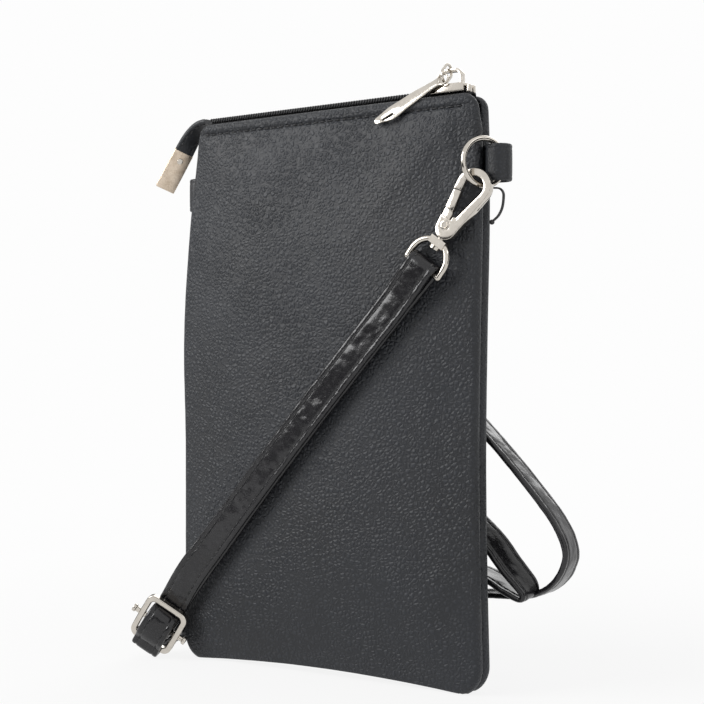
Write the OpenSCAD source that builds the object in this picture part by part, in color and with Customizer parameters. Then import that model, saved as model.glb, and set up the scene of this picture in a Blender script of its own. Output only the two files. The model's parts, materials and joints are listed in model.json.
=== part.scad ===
// Phone pouch with a zip, a clip-on strap and a slide adjuster.
// Millimetres. X to the right, Y to the back, Z up.
// The origin is on the ground, under the middle of the pouch.

/* [Pouch] */
// Width of the pouch across its lower half
pouch_w = 121; // [100:1:150]
// Height of the panels
pouch_h = 195.6; // [165:0.2:230]
// Depth of the pouch at its fullest point
pouch_d = 20.4; // [16:0.2:26]
// Depth of the pouch through its turned side edges
side_d = 9.8; // [9:0.2:11]
// Radius of the bottom corners
corner_r = 10; // [6:1:16]
// Radius of the top corners
mouth_corner_r = 5; // [3:0.5:8]
// How far the left side draws in at the mouth
draw_left = 8; // [4:0.2:10]
// How far the right side draws in at the mouth
draw_right = 0.8; // [0:0.2:4]
// Thickness of the leather shell
leather_t = 1.4; // [1.1:0.1:1.6]
// Thickness of the folded top edge of a panel
fold_t = 3; // [2.8:0.1:3.6]
// Thickness of the lining
lining_t = 0.5; // [0.3:0.1:0.6]

/* [Zip] */
// How far the mouth drops to the left, in degrees
mouth_tilt = 1.3; // [0:0.1:2.5]
// Width of the slit between the two coils
coil_slit = 0.9; // [0.7:0.05:1]
// Width of one coil
coil_w = 1.6; // [1.4:0.1:1.8]
// Height of a coil above its tape
coil_h = 2; // [1.6:0.1:2.4]
// Length of one coil turn along the zip
coil_pitch = 1.5; // [1.2:0.1:2]
// Thickness of the zip tape
tape_t = 0.45; // [0.3:0.05:0.5]
// Distance of the zip's ends from the sides of the mouth
zip_inset = 3.2; // [2.5:0.1:5]
// Length of the slider
slider_l = 12.4; // [10:0.2:14]
// Width of the slider
slider_w = 6.8; // [6.6:0.1:7.6]
// Thickness of the slider's top plate
slider_t = 1.1; // [0.9:0.1:1.4]
// Height of the arched bridge on the slider
bridge_h = 5.3; // [4.8:0.1:6]
// Length of the arched bridge
bridge_l = 9.4; // [8:0.2:10]
// Diameter of the wire of the small link
link_wire = 1; // [0.8:0.1:1.1]
// Length of the pull from its hole to its tip
pull_l = 27; // [20:1:34]
// Thickness of the pull
pull_t = 0.8; // [0.8:0.1:1.2]
// Width of the pull near its tip
pull_w = 5.2; // [4.6:0.2:7]
// Length of the wrapped tail up to the end plate
tail_l = 16; // [14:0.5:18]
// Width of the wrapped tail
tail_w = 7.2; // [6:0.2:8.4]
// Thickness of the wrapped tail
tail_t = 2; // [1.6:0.1:2.2]
// Length of the metal end plate
end_plate_l = 16; // [12:0.2:18]
// Thickness of the metal end plate, folded round the tape
end_plate_t = 1.7; // [1.6:0.1:2]

/* [Tabs and rings] */
// Height of the right tab's middle above the ground
tab_right_z = 172.5; // [150:0.5:180]
// Height of the left tab's middle above the ground
tab_left_z = 169; // [150:0.5:180]
// Width of a tab
tab_w = 12; // [10:0.5:12.5]
// Thickness of the tab leather
tab_t = 1.3; // [1:0.1:1.6]
// Distance from the side of the pouch to the middle of a tab's loop
tab_out = 5.2; // [5:0.1:8]
// Radius of a ring, to the middle of its wire
ring_r = 7.6; // [7.2:0.1:8.5]
// Diameter of the ring wire
ring_wire = 1.9; // [1.6:0.1:2.2]

/* [Snap hooks] */
// Outer radius of the hook's bow
bow_r = 6; // [5.6:0.1:6.6]
// Radius of the opening in the bow
bow_hole_r = 3.6; // [3:0.1:3.6]
// Distance from the bow's centre to the centre of the rivet plate
hook_l = 16; // [15:0.5:18]
// Outer radius of the rivet plate
plate_r = 3.7; // [3.4:0.1:4]
// Thickness of the hook body
hook_t = 2.8; // [2.8:0.1:3.4]
// Thickness of the gate
gate_t = 2.2; // [2:0.1:2.4]
// Width of the slot that holds the root of the gate
gate_slot = 1.8; // [1.7:0.1:2]
// Diameter of the gate rivet
rivet_d = 1.8; // [1.4:0.1:2]
// Diameter of the swivel post
post_d = 2.2; // [1.8:0.1:2.4]
// Inner width of the swivel eye beyond the strap's width
eye_room = 0.6; // [0.4:0.1:1.7]
// Diameter of the eye's wire
eye_wire = 2.2; // [2:0.1:2.6]
// Distance from the eye's collar to the bar in the strap
eye_l = 10.7; // [10:0.1:13]

/* [Strap] */
// Width of the strap
strap_w = 10.8; // [9:0.1:11]
// Thickness of one layer of the strap
strap_t = 2; // [1.4:0.1:2.2]
// Room between the strap's edge and the inside of the adjuster frame
adjuster_room = 1; // [0.8:0.1:2]
// Length of the adjuster frame, along the strap
adjuster_l = 18; // [17:0.2:22]
// Width of the frame's bars
frame_bar = 2.1; // [1.8:0.1:2.2]
// Depth of the frame's bars
frame_t = 2.6; // [2:0.1:3]
// Diameter of the adjuster's centre bar
bar_d = 2; // [1.6:0.1:2.2]

/* [Hidden] */

LEFT = -1;
RIGHT = 1;
leather_tone = "#2b2c2f";
strap_tone = "#262528";
metal_tone = "#d9d2c6";
zip_tone = "#17171a";
lining_tone = "#3a3a3e";

// Small distances that several pieces share
seam_gap = 0.1;
skin_gap = 0.45;
layer_gap = 0.25;
running_gap = 0.05;
part_gap = 0.3;
overrun = 1;

// Panels
half_w = pouch_w / 2;
lobe_r = (side_d / 2 - seam_gap) / 2;
fold_r = fold_t / 2;
base_cut_share = 0.51;
base_cut = lobe_r * base_cut_share;
mouth_half = 2.4;
fold_blend = 12;
crown_top_share = 0.86;
crown_power_share = 2.2;
sag_power_share = 4;
left_draw_shares = [0.15, 0.17, 0.17, 0.08, 0.43, 1];
right_draw_shares = [-0.9, 0.3, 0.9, 0.3, -0.7, -0.3];
spine_share = 0.06;
crown_shares = [0.12, 0.3, 0.52, 0.76, 1];
lobe_steps = 6;
lining_drop = 9;
lining_gap = 0.8;

// Zip
zip_left_x = -(half_w - draw_left - zip_inset);
zip_right_x = half_w - draw_right - zip_inset;
zip_l = zip_right_x - zip_left_x;
mouth_dir = [cos(mouth_tilt), 0, sin(mouth_tilt)];
tape_rise = 0.6;
tape_z = pouch_h + tape_rise;
tape_foot = 9;
tape_gap = 0.2;
tape_out = mouth_half - tape_gap;
tape_bend = 0.6;
coil_top_z = tape_z + coil_h;
coil_groove = 0.35;
coil_turn_shares = [0, 0.6, 0.6, 1];
stop_l = 1.6;
stop_over = 0.5;
stop_h = coil_h + stop_over;
slider_run_gap = 0.15;
slider_x = zip_right_x - stop_l - part_gap - slider_l / 2;
slider_plate_z = coil_top_z + slider_run_gap;
slider_top_z = slider_plate_z + slider_t;
slider_flange_t = 0.8;
slider_flange_up = 1;
slider_flange_z = pouch_h + slider_flange_up;
slider_foot_w = 2 * (tape_out - tape_t - tape_bend - slider_run_gap);
slider_neck_gap = 0.1;
slider_neck_t = coil_slit - 2 * slider_neck_gap;
slider_neck_l = 2.4;
bridge_w = 2.4;
bridge_t = 1.2;
bridge_round_r = 2.4;
beam_z = slider_top_z + bridge_h - bridge_t / 2;
link_gap = 0.45;
link_r = norm([bridge_w, bridge_t]) / 2 + link_gap + link_wire / 2;
link_l = 2.8;
link_droop = 38;
link_off = 0.9;
link_x = slider_x - link_off;
link_dir = [0, -cos(link_droop), -sin(link_droop)];
link_far = on_mouth([link_x, 0, beam_z] + (link_l + link_r) * link_dir);
pull_lean = 17;
pull_turn = 30;
pull_hole_r = 1.6;
pull_head_r = 2.2;
pull_hang = 0.1;
pull_upper_shares = [0.26, 0.3, 0.385, 0.385, 0.395, 0.24];
pull_lower_shares = [0.26, 0.25, 0.345, 0.445, 0.56, 0.24];
pull_slot_w = 0.8;
pull_slot_l = 4.4;
pull_slot_share = 0.2;
pull_steps = 20;
tail_pivot = [zip_left_x - part_gap - tail_t / 2, coil_top_z - tail_t / 2];
tail_turns = [0, 12, 28, 40, 48, 53, 54];
tail_twist = 42;
tail_root_d = 1.06 * tail_t;
tongue_t = 0.8;
stud_down = 3.6;
stud_r = 1.1;
stud_h = 0.5;

// Tabs and rings. A loop's radius holds the part of the ring that lies inside the tab.
ring_reach = ring_r - sqrt(pow(ring_r - ring_wire / 2, 2) - pow(tab_w / 2, 2));
tab_ring_gap = 0.15;
tab_hole_r = (ring_reach + ring_wire / 2) / 2 + tab_ring_gap;
tab_loop_r = tab_hole_r + tab_t;
ring_turn = 58;
tab_bend_right = 8;
tab_bend_left = 60;
tab_bend_extra = 2.1;
tab_knee_out = 1.8;
tab_root_in = 1.1;
tab_root_w = 0.4;
tab_bite_share = 0.4;
tab_widen_steps = 3;

// Snap hooks: v runs down the hook from the ring's wire, u across it
hook_lean = 35;
hook_tip_forward = 5;
link_angle = 20;
bow_v = 1.3;
plate_v = bow_v + hook_l;
hole_foot_r = 1.3;
hole_foot_up = 5.7;
hole_foot_v = plate_v - hole_foot_up;
gate_top_down = 3.2;
gate_top_v = bow_v + gate_top_down;
gate_foot_up = 3;
gate_foot_v = plate_v - gate_foot_up;
gate_side = 0.9;
gate_up = 0.7;
gate_pivot = [-gate_side, plate_v - gate_up];
gate_root_r = 2.2;
gate_gap = 0.2;
gate_reach = gate_pivot.y - gate_top_v;
rivet_head_r = 1.7;
rivet_head_t = 0.35;
spring_t = 0.35;
root_gap = 0.1;
hook_end_v = plate_v + plate_r;
collar_gap = 0.2;
collar_v = hook_end_v + collar_gap;
collar_l = 2.6;
collar_w = 6;
post_head_r = 1.9;
post_head_t = 1.1;
post_seat = 1.4;
bar_v = collar_v + eye_l;
eye_w = strap_w + eye_room;
eye_r = eye_w / 2 + eye_wire / 2;

// Strap
strap_bend_gap = 0.3;
strap_bend_r = eye_wire / 2 + strap_bend_gap + strap_t / 2;
layer_step = strap_t + layer_gap;
adjuster_at_shares = [-1.05, 0.0645];
adjuster_lean = 55;
adjuster_roll = 20;
frame_corner_r = 3;
frame_inner_r = 1.4;
bar_head_r = 1.5;
bar_head_t = 1.2;
bar_over = 1.7;
adjuster_w = strap_w + 2 * (frame_bar + adjuster_room);
frame_pitch = adjuster_l / 2 - frame_bar / 2;
frame_gap = 0.4;
weave_step = frame_t / 2 + frame_gap + strap_t / 2;
fan_l = 12;
weave_over = 6;
weave_l = adjuster_l + weave_over;
path_steps = 4;
run_steps = 9;

// Vectors and frames
function unit(v) = v / norm(v);
function blend(a, b, s) = a + (b - a) * s;
function limited(v, low, high) = min(max(v, low), high);
function turned(v, side) = side == RIGHT ? v : [-v.x, -v.y, v.z];

module place(o, ex, ey) {
  ez = cross(ex, ey);
  multmatrix([[ex.x, ey.x, ez.x, o.x], [ex.y, ey.y, ez.y, o.y], [ex.z, ey.z, ez.z, o.z], [0, 0, 0, 1]])
    children();
}

module along_x(x0, l) {
  translate([x0, 0, 0])
    rotate([90, 0, 90])
      linear_extrude(l)
        children();
}

module along_y(y0, l) {
  translate([0, y0 + l, 0])
    rotate([90, 0, 0])
      linear_extrude(l)
        children();
}

// Faces of a skin over rings of n points, with a fan or a flat cap at both ends
function skin_faces(rings, n) = [
  for (k = [0:rings - 2], i = [0:n - 1], half = [0, 1])
    let (j = (i + 1) % n, a = k * n, b = a + n)
      half == 0 ? [a + i, a + j, b + j] : [a + i, b + j, b + i]
];
function fan_faces(rings, n) = [
  for (i = [0:n - 1], end = [0, 1])
    let (j = (i + 1) % n, last = (rings - 1) * n)
      end == 0 ? [rings * n, j, i] : [rings * n + 1, last + i, last + j]
];

// Panels: a ring of points round the panel's edge, each with its outward direction
function edge_arc(cx, cz, r, a0, a1, n) = [
  for (i = [0:n])
    let (a = blend(a0, a1, i / n))
      [cx + r * cos(a), cz + r * sin(a), cos(a), sin(a)]
];
function edge_line(p, q, out, n) = [
  for (i = [1:n - 1])
    let (c = blend(p, q, i / n))
      [c.x, c.y, out.x, out.y]
];
function panel_edge(h) =
  let (
    a = half_w - lobe_r,
    low = lobe_r - base_cut,
    high = h - fold_r,
    rb = corner_r - lobe_r,
    rt = mouth_corner_r - fold_r
  )
    concat(
      edge_arc(-a + rb, low + rb, rb, 180, 270, 5),
      edge_line([-a + rb, low], [a - rb, low], [0, -1], 8),
      edge_arc(a - rb, low + rb, rb, 270, 360, 5),
      edge_line([a, low + rb], [a, high - rt], [1, 0], 12),
      edge_arc(a - rt, high - rt, rt, 0, 90, 3),
      edge_line([a - rt, high], [-a + rt, high], [0, 1], 8),
      edge_arc(-a + rt, high - rt, rt, 90, 180, 3),
      edge_line([-a, high - rt], [-a, low + rb], [-1, 0], 12)
    );

// How far a side has drawn in at this height, and the side's place there
function table_at(t, s) =
  let (
    f = limited(s, 0, 1) * (len(t) - 1),
    i = min(floor(f), len(t) - 2),
    g = f - i,
    m0 = (t[i + 1] - t[max(i - 1, 0)]) / 2,
    m1 = (t[min(i + 2, len(t) - 1)] - t[i]) / 2
  )
    t[i] + m0 * g + (3 * (t[i + 1] - t[i]) - 2 * m0 - m1) * g * g + (2 * (t[i] - t[i + 1]) + m0 + m1) * g * g * g;
function draw_at(side, z) =
  side == LEFT
    ? draw_left * table_at(left_draw_shares, z / pouch_h)
    : draw_right * table_at(right_draw_shares, z / pouch_h);
function drawn(x, z) = x * (1 - draw_at(x < 0 ? LEFT : RIGHT, z) / half_w);
function side_x(side, z) = drawn(side * half_w, z);

// The mouth slopes down to the left about the right end of the zip, and the panels follow it
function sagged(x, z) =
  z - tan(mouth_tilt) * (zip_right_x - x) * pow(limited(z / pouch_h, 0, 1), sag_power_share);
function on_mouth(p) =
  let (d = p - [zip_right_x, 0, pouch_h])
    [zip_right_x, 0, pouch_h] + d.x * mouth_dir + [0, d.y, 0] + d.z * [-mouth_dir.z, 0, mouth_dir.x];

module on_mouth() {
  translate([zip_right_x, 0, pouch_h])
    rotate([0, -mouth_tilt, 0])
      translate([-zip_right_x, 0, -pouch_h])
        children();
}

// Depth of the pouch at the spine, and depth of a panel's outside anywhere on it
function spine_depth(z) = pouch_d / 2 * blend(1, crown_top_share, limited((z - half_w) / (pouch_h - pouch_w), 0, 1));
function swell(s) = 1 - pow(1 - s, crown_power_share);
function panel_depth(x, z) =
  let (
    a = half_w - lobe_r,
    q = max(abs(x) / a, (half_w - z) / half_w, (z - pouch_h + half_w) / half_w)
  )
    blend(side_d / 2, spine_depth(z), swell(1 - limited(q, 0, 1)));

// One ring of a panel's skin, inset from the panel's outside
function lobe_ring(edge, angle, inset) = [
  for (p = edge)
    let (
      s = limited((p.y - pouch_h + fold_blend) / (fold_blend - fold_r), 0, 1),
      r = blend(lobe_r, fold_r, s),
      gap = blend(seam_gap, mouth_half, s),
      reach = (r - inset) * sin(angle),
      z = max(p.y + p[3] * reach, inset)
    )
      [drawn(p.x + p[2] * reach, z), -(gap + r) + (r - inset) * cos(angle), sagged(p.x, z)]
];
function crown_ring(edge, share, inset) = [
  for (p = edge)
    let (
      s = limited((p.y - pouch_h + fold_blend) / (fold_blend - fold_r), 0, 1),
      edge_depth = blend(seam_gap + 2 * lobe_r, mouth_half + fold_t, s) - inset,
      spine_z = limited(p.y, half_w, pouch_h - half_w),
      x = blend(p.x, p.x * spine_share, share),
      z = blend(p.y, spine_z, share)
    )
      [drawn(x, z), -blend(edge_depth, spine_depth(spine_z) - inset, swell(share)), sagged(x, z)]
];
function reversed(list) = [for (i = [len(list) - 1:-1:0]) list[i]];
function panel_rings(edge, inset) = concat(
  [for (k = [0:lobe_steps]) lobe_ring(edge, 180 * k / lobe_steps, inset)],
  [for (s = crown_shares) crown_ring(edge, s, inset)]
);

module panel_shell(h, inset, t) {
  edge = panel_edge(h);
  rings = concat(reversed(panel_rings(edge, inset)), panel_rings(edge, inset + t));
  middle_z = pouch_h / 2;
  depth = spine_depth(middle_z) - inset;
  centre_z = sagged(0, middle_z);
  points = concat([for (ring = rings) for (p = ring) p], [[0, -depth, centre_z], [0, -depth + t, centre_z]]);
  polyhedron(points, concat(skin_faces(len(rings), len(edge)), fan_faces(len(rings), len(edge))));
}

module front_panel() {
  color(leather_tone)
    panel_shell(pouch_h, 0, leather_t);
}

module back_panel() {
  color(leather_tone)
    mirror([0, 1, 0])
      panel_shell(pouch_h, 0, leather_t);
}

module front_lining() {
  color(lining_tone)
    panel_shell(pouch_h - lining_drop, leather_t + lining_gap, lining_t);
}

module back_lining() {
  color(lining_tone)
    mirror([0, 1, 0])
      panel_shell(pouch_h - lining_drop, leather_t + lining_gap, lining_t);
}

// Zip
module facing(side) {
  mirror([0, side == RIGHT ? 1 : 0, 0])
    children();
}

module zip_tape(side) {
  low = pouch_h - tape_foot;
  knee = pouch_h - tape_bend;
  inner = -(tape_out - tape_t);
  color(zip_tone)
    on_mouth()
    facing(side)
      along_x(zip_left_x, zip_l)
        polygon([
          [-tape_out, low],
          [inner, low],
          [inner, knee],
          [inner + tape_bend, tape_z - tape_t],
          [-coil_slit / 2, tape_z - tape_t],
          [-coil_slit / 2, tape_z],
          [-tape_out + tape_bend, tape_z],
          [-tape_out, knee]
        ]);
}

module zip_coil(side) {
  run = zip_l - stop_l;
  turns = floor(run / coil_pitch);
  step = run / turns;
  color(zip_tone)
    on_mouth()
    facing(side)
      along_y(-coil_slit / 2 - coil_w, coil_w)
        polygon(concat(
          [[zip_left_x + run, tape_z], [zip_left_x, tape_z]],
          [
            for (i = [0:turns - 1], corner = [0:3])
              [
                zip_left_x + step * (i + coil_turn_shares[corner]),
                coil_top_z - (corner < 2 ? 0 : coil_groove)
              ]
          ]
        ));
}

module zip_stop(side) {
  color(metal_tone)
    on_mouth()
    facing(side)
      translate([zip_right_x - stop_l, -coil_slit / 2 - coil_w, tape_z])
        cube([stop_l, coil_w, stop_h]);
}

module bridge_outline(l, h, r) {
  square([l - 2 * r, h]);
  translate([-r, 0])
    square([l, h - r]);
  for (x = [0, l - 2 * r])
    translate([x, h - r])
      circle(r = r, $fn = 48);
}

module zip_slider() {
  foot_z = tape_z - tape_t - slider_run_gap - slider_t;
  color(metal_tone)
    on_mouth() {
    translate([slider_x - slider_l / 2, -slider_w / 2, slider_plate_z])
      cube([slider_l, slider_w, slider_t]);
    for (side = [LEFT, RIGHT])
      translate([
        slider_x - slider_l / 2,
        side * (slider_w - slider_flange_t) / 2 - slider_flange_t / 2,
        slider_flange_z
      ])
        cube([slider_l, slider_flange_t, slider_plate_z - slider_flange_z]);
    translate([slider_x - slider_l / 2, -slider_foot_w / 2, foot_z])
      cube([slider_l, slider_foot_w, slider_t]);
    translate([slider_x - slider_neck_l / 2, -slider_neck_t / 2, foot_z])
      cube([slider_neck_l, slider_neck_t, slider_plate_z - foot_z]);
    translate([slider_x - bridge_l / 2 + bridge_round_r, 0, slider_top_z])
      along_y(-bridge_w / 2, bridge_w)
        difference() {
          bridge_outline(bridge_l, bridge_h, bridge_round_r);
          translate([0, -bridge_t])
            bridge_outline(bridge_l - 2 * bridge_t, bridge_h, bridge_round_r - bridge_t);
        }
  }
}

// A closed loop of round wire: two half rings and two straight wires, along the local X axis
module long_link(l, r, wire) {
  for (end = [0, 1])
    translate([end * l, 0, 0])
      rotate([0, 0, 90 - 180 * end])
        rotate_extrude(angle = 180, $fn = 48)
          translate([r, 0])
            circle(d = wire, $fn = 24);
  for (side = [LEFT, RIGHT])
    translate([0, side * r, 0])
      rotate([0, 90, 0])
        cylinder(d = wire, h = l, $fn = 24);
}

module zip_link() {
  color(metal_tone)
    on_mouth()
      place([link_x, 0, beam_z], link_dir, [0, link_dir.z, -link_dir.y])
        long_link(link_l, link_r, link_wire);
}

// The pull lies in front of the panel and leans out with it. Local X runs to the tip.
pull_down = [0, -sin(pull_lean), -cos(pull_lean)];
pull_dir = -cos(pull_turn) * [1, 0, 0] + sin(pull_turn) * pull_down;
pull_side = -sin(pull_turn) * [1, 0, 0] - cos(pull_turn) * pull_down;

function pull_half(shares, s) = pull_w * table_at(shares, s);

module zip_pull() {
  tip_r = pull_half(pull_upper_shares, 1);
  tip_x = pull_l - tip_r;
  slot_end = tip_x - 1.5 * tip_r;
  color(metal_tone)
    place(link_far, pull_dir, pull_side)
      translate([pull_hang * sin(pull_turn), -pull_hang * cos(pull_turn), -pull_t / 2])
        linear_extrude(pull_t)
          difference() {
            union() {
              circle(r = pull_head_r, $fn = 48);
              polygon(concat(
                [for (i = [0:pull_steps]) [tip_x * i / pull_steps, -pull_half(pull_lower_shares, i / pull_steps)]],
                [for (i = [pull_steps:-1:0]) [tip_x * i / pull_steps, pull_half(pull_upper_shares, i / pull_steps)]]
              ));
              translate([tip_x, 0])
                circle(r = tip_r, $fn = 48);
            }
            circle(r = pull_hole_r, $fn = 48);
            translate([0, -pull_slot_share * pull_w]) {
              translate([slot_end - pull_slot_l + pull_slot_w, -pull_slot_w / 2])
                square([pull_slot_l - pull_slot_w, pull_slot_w]);
              for (x = [slot_end - pull_slot_l + pull_slot_w, slot_end])
                translate([x, 0])
                  circle(d = pull_slot_w, $fn = 32);
            }
          }
}

// Tail of the zip: a band that droops over the left corner and turns its face to the front
tail_last = len(tail_turns) - 1;
function tail_center(i) =
  i == 0 ? tail_pivot : tail_center(i - 1) - tail_l / tail_last * [cos(tail_turns[i]), sin(tail_turns[i])];
function tail_side(i) =
  let (a = tail_twist * i / tail_last)
    [sin(a) * sin(tail_turns[i]), cos(a), -sin(a) * cos(tail_turns[i])];
tail_path = smooth(
  [for (i = [0:tail_last]) station([tail_center(i).x, 0, tail_center(i).y], tail_side(i))],
  2
);
tail_end = tail_center(tail_last);
tail_down = -[cos(tail_turns[tail_last]), sin(tail_turns[tail_last])];
tail_across = [-tail_down.y, tail_down.x];

module at_tail_end() {
  on_mouth()
    place([tail_end.x, 0, tail_end.y], [tail_down.x, 0, tail_down.y], [tail_across.x, 0, tail_across.y])
      rotate([tail_twist, 0, 0])
        children();
}

module zip_tail() {
  fold = (end_plate_t - tongue_t) / 2;
  color(leather_tone) {
    on_mouth() {
      along_y(-tail_w / 2, tail_w)
        translate(tail_pivot)
          circle(d = tail_root_d, $fn = 32);
      band(tail_path, 0, len(tail_path) - 1, tail_w, tail_t);
    }
    at_tail_end()
      translate([-overrun, -tongue_t / 2, -tail_w / 2])
        cube([end_plate_l - fold + overrun, tongue_t, tail_w]);
  }
}

module zip_end_plate() {
  fold = (end_plate_t - tongue_t) / 2;
  color(metal_tone)
    at_tail_end()
      difference() {
        translate([0, -end_plate_t / 2, -tail_w / 2])
          cube([end_plate_l, end_plate_t, tail_w]);
        translate([-overrun, -tongue_t / 2, -tail_w / 2 - overrun])
          cube([end_plate_l - fold + overrun, tongue_t, tail_w + 2 * overrun]);
      }
}

module zip_end_stud() {
  color(metal_tone)
    at_tail_end()
      for (side = [0, 1])
        translate([stud_down, side == 0 ? -end_plate_t / 2 : end_plate_t / 2 + stud_h, 0])
          rotate([90, 0, 0])
            cylinder(r = stud_r, h = stud_h, $fn = 40);
}

// Tabs. A tab's loop is round its middle, and the ring turns about that middle.
function tab_z(side) = side == RIGHT ? tab_right_z : tab_left_z;
function tab_bend(side) = side == RIGHT ? tab_bend_right : tab_bend_left;
function tab_reach(side) = side == RIGHT ? tab_out : tab_out + tab_bend_extra;
function tab_edge(side) = side * max([for (end = [-1, 1]) side * side_x(side, tab_z(side) + end * tab_w / 2)]);
function tab_root(side) = [tab_edge(side) - side * tab_root_in, 0];
function tab_knee(side) = [side_x(side, tab_z(side)) + side * tab_knee_out, 0];
function loop_center(side) =
  [side_x(side, tab_z(side)), 0] + side * tab_reach(side) * [cos(tab_bend(side)), -sin(tab_bend(side))];
function tab_end(side) =
  loop_center(side) - side * (tab_hole_r + tab_t * tab_bite_share) * [cos(tab_bend(side)), -sin(tab_bend(side))];
function tab_path(side) = [
  for (i = [0:8])
    let (s = i / 8)
      pow(1 - s, 2) * tab_root(side) + 2 * s * (1 - s) * tab_knee(side) + pow(s, 2) * tab_end(side)
];
function path_normal(path, i) =
  let (
    a = path[max(i - 1, 0)],
    b = path[min(i + 1, len(path) - 1)],
    d = unit(b - a)
  )
    [-d.y, d.x];

module tab(side) {
  path = tab_path(side);
  last = len(path) - 1;
  half = [for (i = [0:last]) blend(tab_root_w / 2, tab_t, limited(i / tab_widen_steps, 0, 1))];
  color(strap_tone)
    translate([0, 0, tab_z(side) - tab_w / 2])
      linear_extrude(tab_w)
        union() {
          polygon(concat(
            [for (i = [0:last]) path[i] + half[i] * path_normal(path, i)],
            [for (i = [last:-1:0]) path[i] - half[i] * path_normal(path, i)]
          ));
          translate(loop_center(side))
            difference() {
              circle(r = tab_loop_r, $fn = 64);
              circle(r = tab_hole_r, $fn = 64);
            }
        }
}

// Rings. The ring's plane is upright and leaves the tab along ring_dir.
function ring_dir(side) = turned([-cos(ring_turn), -sin(ring_turn), 0], side);
function loop_point(side) = let (c = loop_center(side)) [c.x, c.y, tab_z(side)];
function ring_center(side) = loop_point(side) + (ring_r - (ring_reach - ring_wire / 2) / 2) * ring_dir(side);
function link_point(side) =
  ring_center(side) + ring_r * (sin(link_angle) * ring_dir(side) - cos(link_angle) * [0, 0, 1]);

module ring(side) {
  color(metal_tone)
    place(ring_center(side), ring_dir(side), [0, 0, 1])
      rotate_extrude($fn = 96)
        translate([ring_r, 0])
          circle(d = ring_wire, $fn = 32);
}

// Snap hooks. hook_down runs from the ring's wire to the strap, hook_across to the spine's side.
function hook_down(side) = turned([
  -sin(hook_lean) * cos(hook_tip_forward),
  -sin(hook_tip_forward),
  -cos(hook_lean) * cos(hook_tip_forward)
], side);
function hook_across(side) = turned([cos(hook_lean), 0, -sin(hook_lean)], side);
function eye_bar(side) = link_point(side) + bar_v * hook_down(side);

module at_hook(side) {
  place(link_point(side), hook_across(side), hook_down(side))
    children();
}

// Outline of two circles and their outer tangents, along the local Y axis
function pear(r1, v1, r2, v2) =
  let (
    a = asin((r1 - r2) / (v2 - v1)),
    n = 20
  )
    concat(
      [for (i = [0:n]) let (t = blend(-180 - a, a, i / n)) [r1 * cos(t), v1 + r1 * sin(t)]],
      [for (i = [0:n]) let (t = blend(a, 180 - a, i / n)) [r2 * cos(t), v2 + r2 * sin(t)]]
    );

module bow_band() {
  difference() {
    polygon(pear(bow_r, bow_v, plate_r, plate_v));
    polygon(pear(bow_hole_r, bow_v, hole_foot_r, hole_foot_v));
  }
}

module slab(t) {
  translate([0, 0, -t / 2])
    linear_extrude(t)
      children();
}

module hook_body(side) {
  root_clear = gate_root_r + gate_gap;
  color(metal_tone)
    at_hook(side)
      difference() {
        slab(hook_t)
          bow_band();
        slab(hook_t + 2 * overrun)
          intersection() {
            translate(gate_pivot)
              circle(r = gate_reach + gate_gap, $fn = 96);
            translate([-2 * bow_r, 0])
              square([2 * bow_r, gate_foot_v]);
          }
        slab(gate_slot)
          translate([gate_pivot.x - 2 * bow_r, hole_foot_v])
            square([2 * bow_r + root_clear, gate_pivot.y + root_clear - hole_foot_v]);
        translate([gate_pivot.x, gate_pivot.y, -hook_t / 2 - overrun])
          cylinder(d = rivet_d, h = hook_t + 2 * overrun, $fn = 40);
        translate([0, hook_end_v - post_seat, 0])
          rotate([-90, 0, 0])
            cylinder(d = post_d, h = post_seat + overrun, $fn = 40);
      }
}

module hook_gate(side) {
  root_t = gate_slot - spring_t - 2 * running_gap - root_gap;
  shift = (gate_slot - root_t) / 2 - running_gap;
  color(metal_tone)
    at_hook(side)
      difference() {
        union() {
          slab(gate_t)
            intersection() {
              bow_band();
              translate(gate_pivot)
                circle(r = gate_reach, $fn = 96);
              translate([-2 * bow_r, 0])
                square([2 * bow_r - gate_gap, hole_foot_v]);
            }
          translate([0, 0, -shift])
            slab(root_t) {
              intersection() {
                bow_band();
                translate([-2 * bow_r, hole_foot_v - overrun])
                  square([2 * bow_r + gate_pivot.x, gate_pivot.y - hole_foot_v + overrun]);
              }
              translate(gate_pivot)
                circle(r = gate_root_r, $fn = 48);
            }
        }
        translate([gate_pivot.x, gate_pivot.y, -hook_t])
          cylinder(d = rivet_d + 2 * running_gap, h = 2 * hook_t, $fn = 40);
      }
}

module gate_rivet(side) {
  color(metal_tone)
    at_hook(side)
      translate([gate_pivot.x, gate_pivot.y, 0]) {
        translate([0, 0, -hook_t / 2])
          cylinder(d = rivet_d, h = hook_t, $fn = 40);
        for (z = [-hook_t / 2 - rivet_head_t, hook_t / 2])
          translate([0, 0, z])
            cylinder(r = rivet_head_r, h = rivet_head_t, $fn = 40);
      }
}

module gate_spring(side) {
  color(metal_tone)
    at_hook(side)
      translate([gate_pivot.x, gate_pivot.y, gate_slot / 2 - spring_t - running_gap])
        difference() {
          cylinder(r = rivet_head_r, h = spring_t, $fn = 40);
          translate([0, 0, -overrun])
            cylinder(d = rivet_d + 2 * running_gap, h = spring_t + 2 * overrun, $fn = 40);
        }
}

module swivel_post(side) {
  shaft_l = post_seat + collar_v - hook_end_v + collar_l + running_gap;
  color(metal_tone)
    at_hook(side)
      translate([0, hook_end_v - post_seat, 0])
        rotate([-90, 0, 0]) {
          cylinder(d = post_d, h = shaft_l, $fn = 40);
          translate([0, 0, shaft_l])
            cylinder(r = post_head_r, h = post_head_t, $fn = 40);
        }
}

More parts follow.
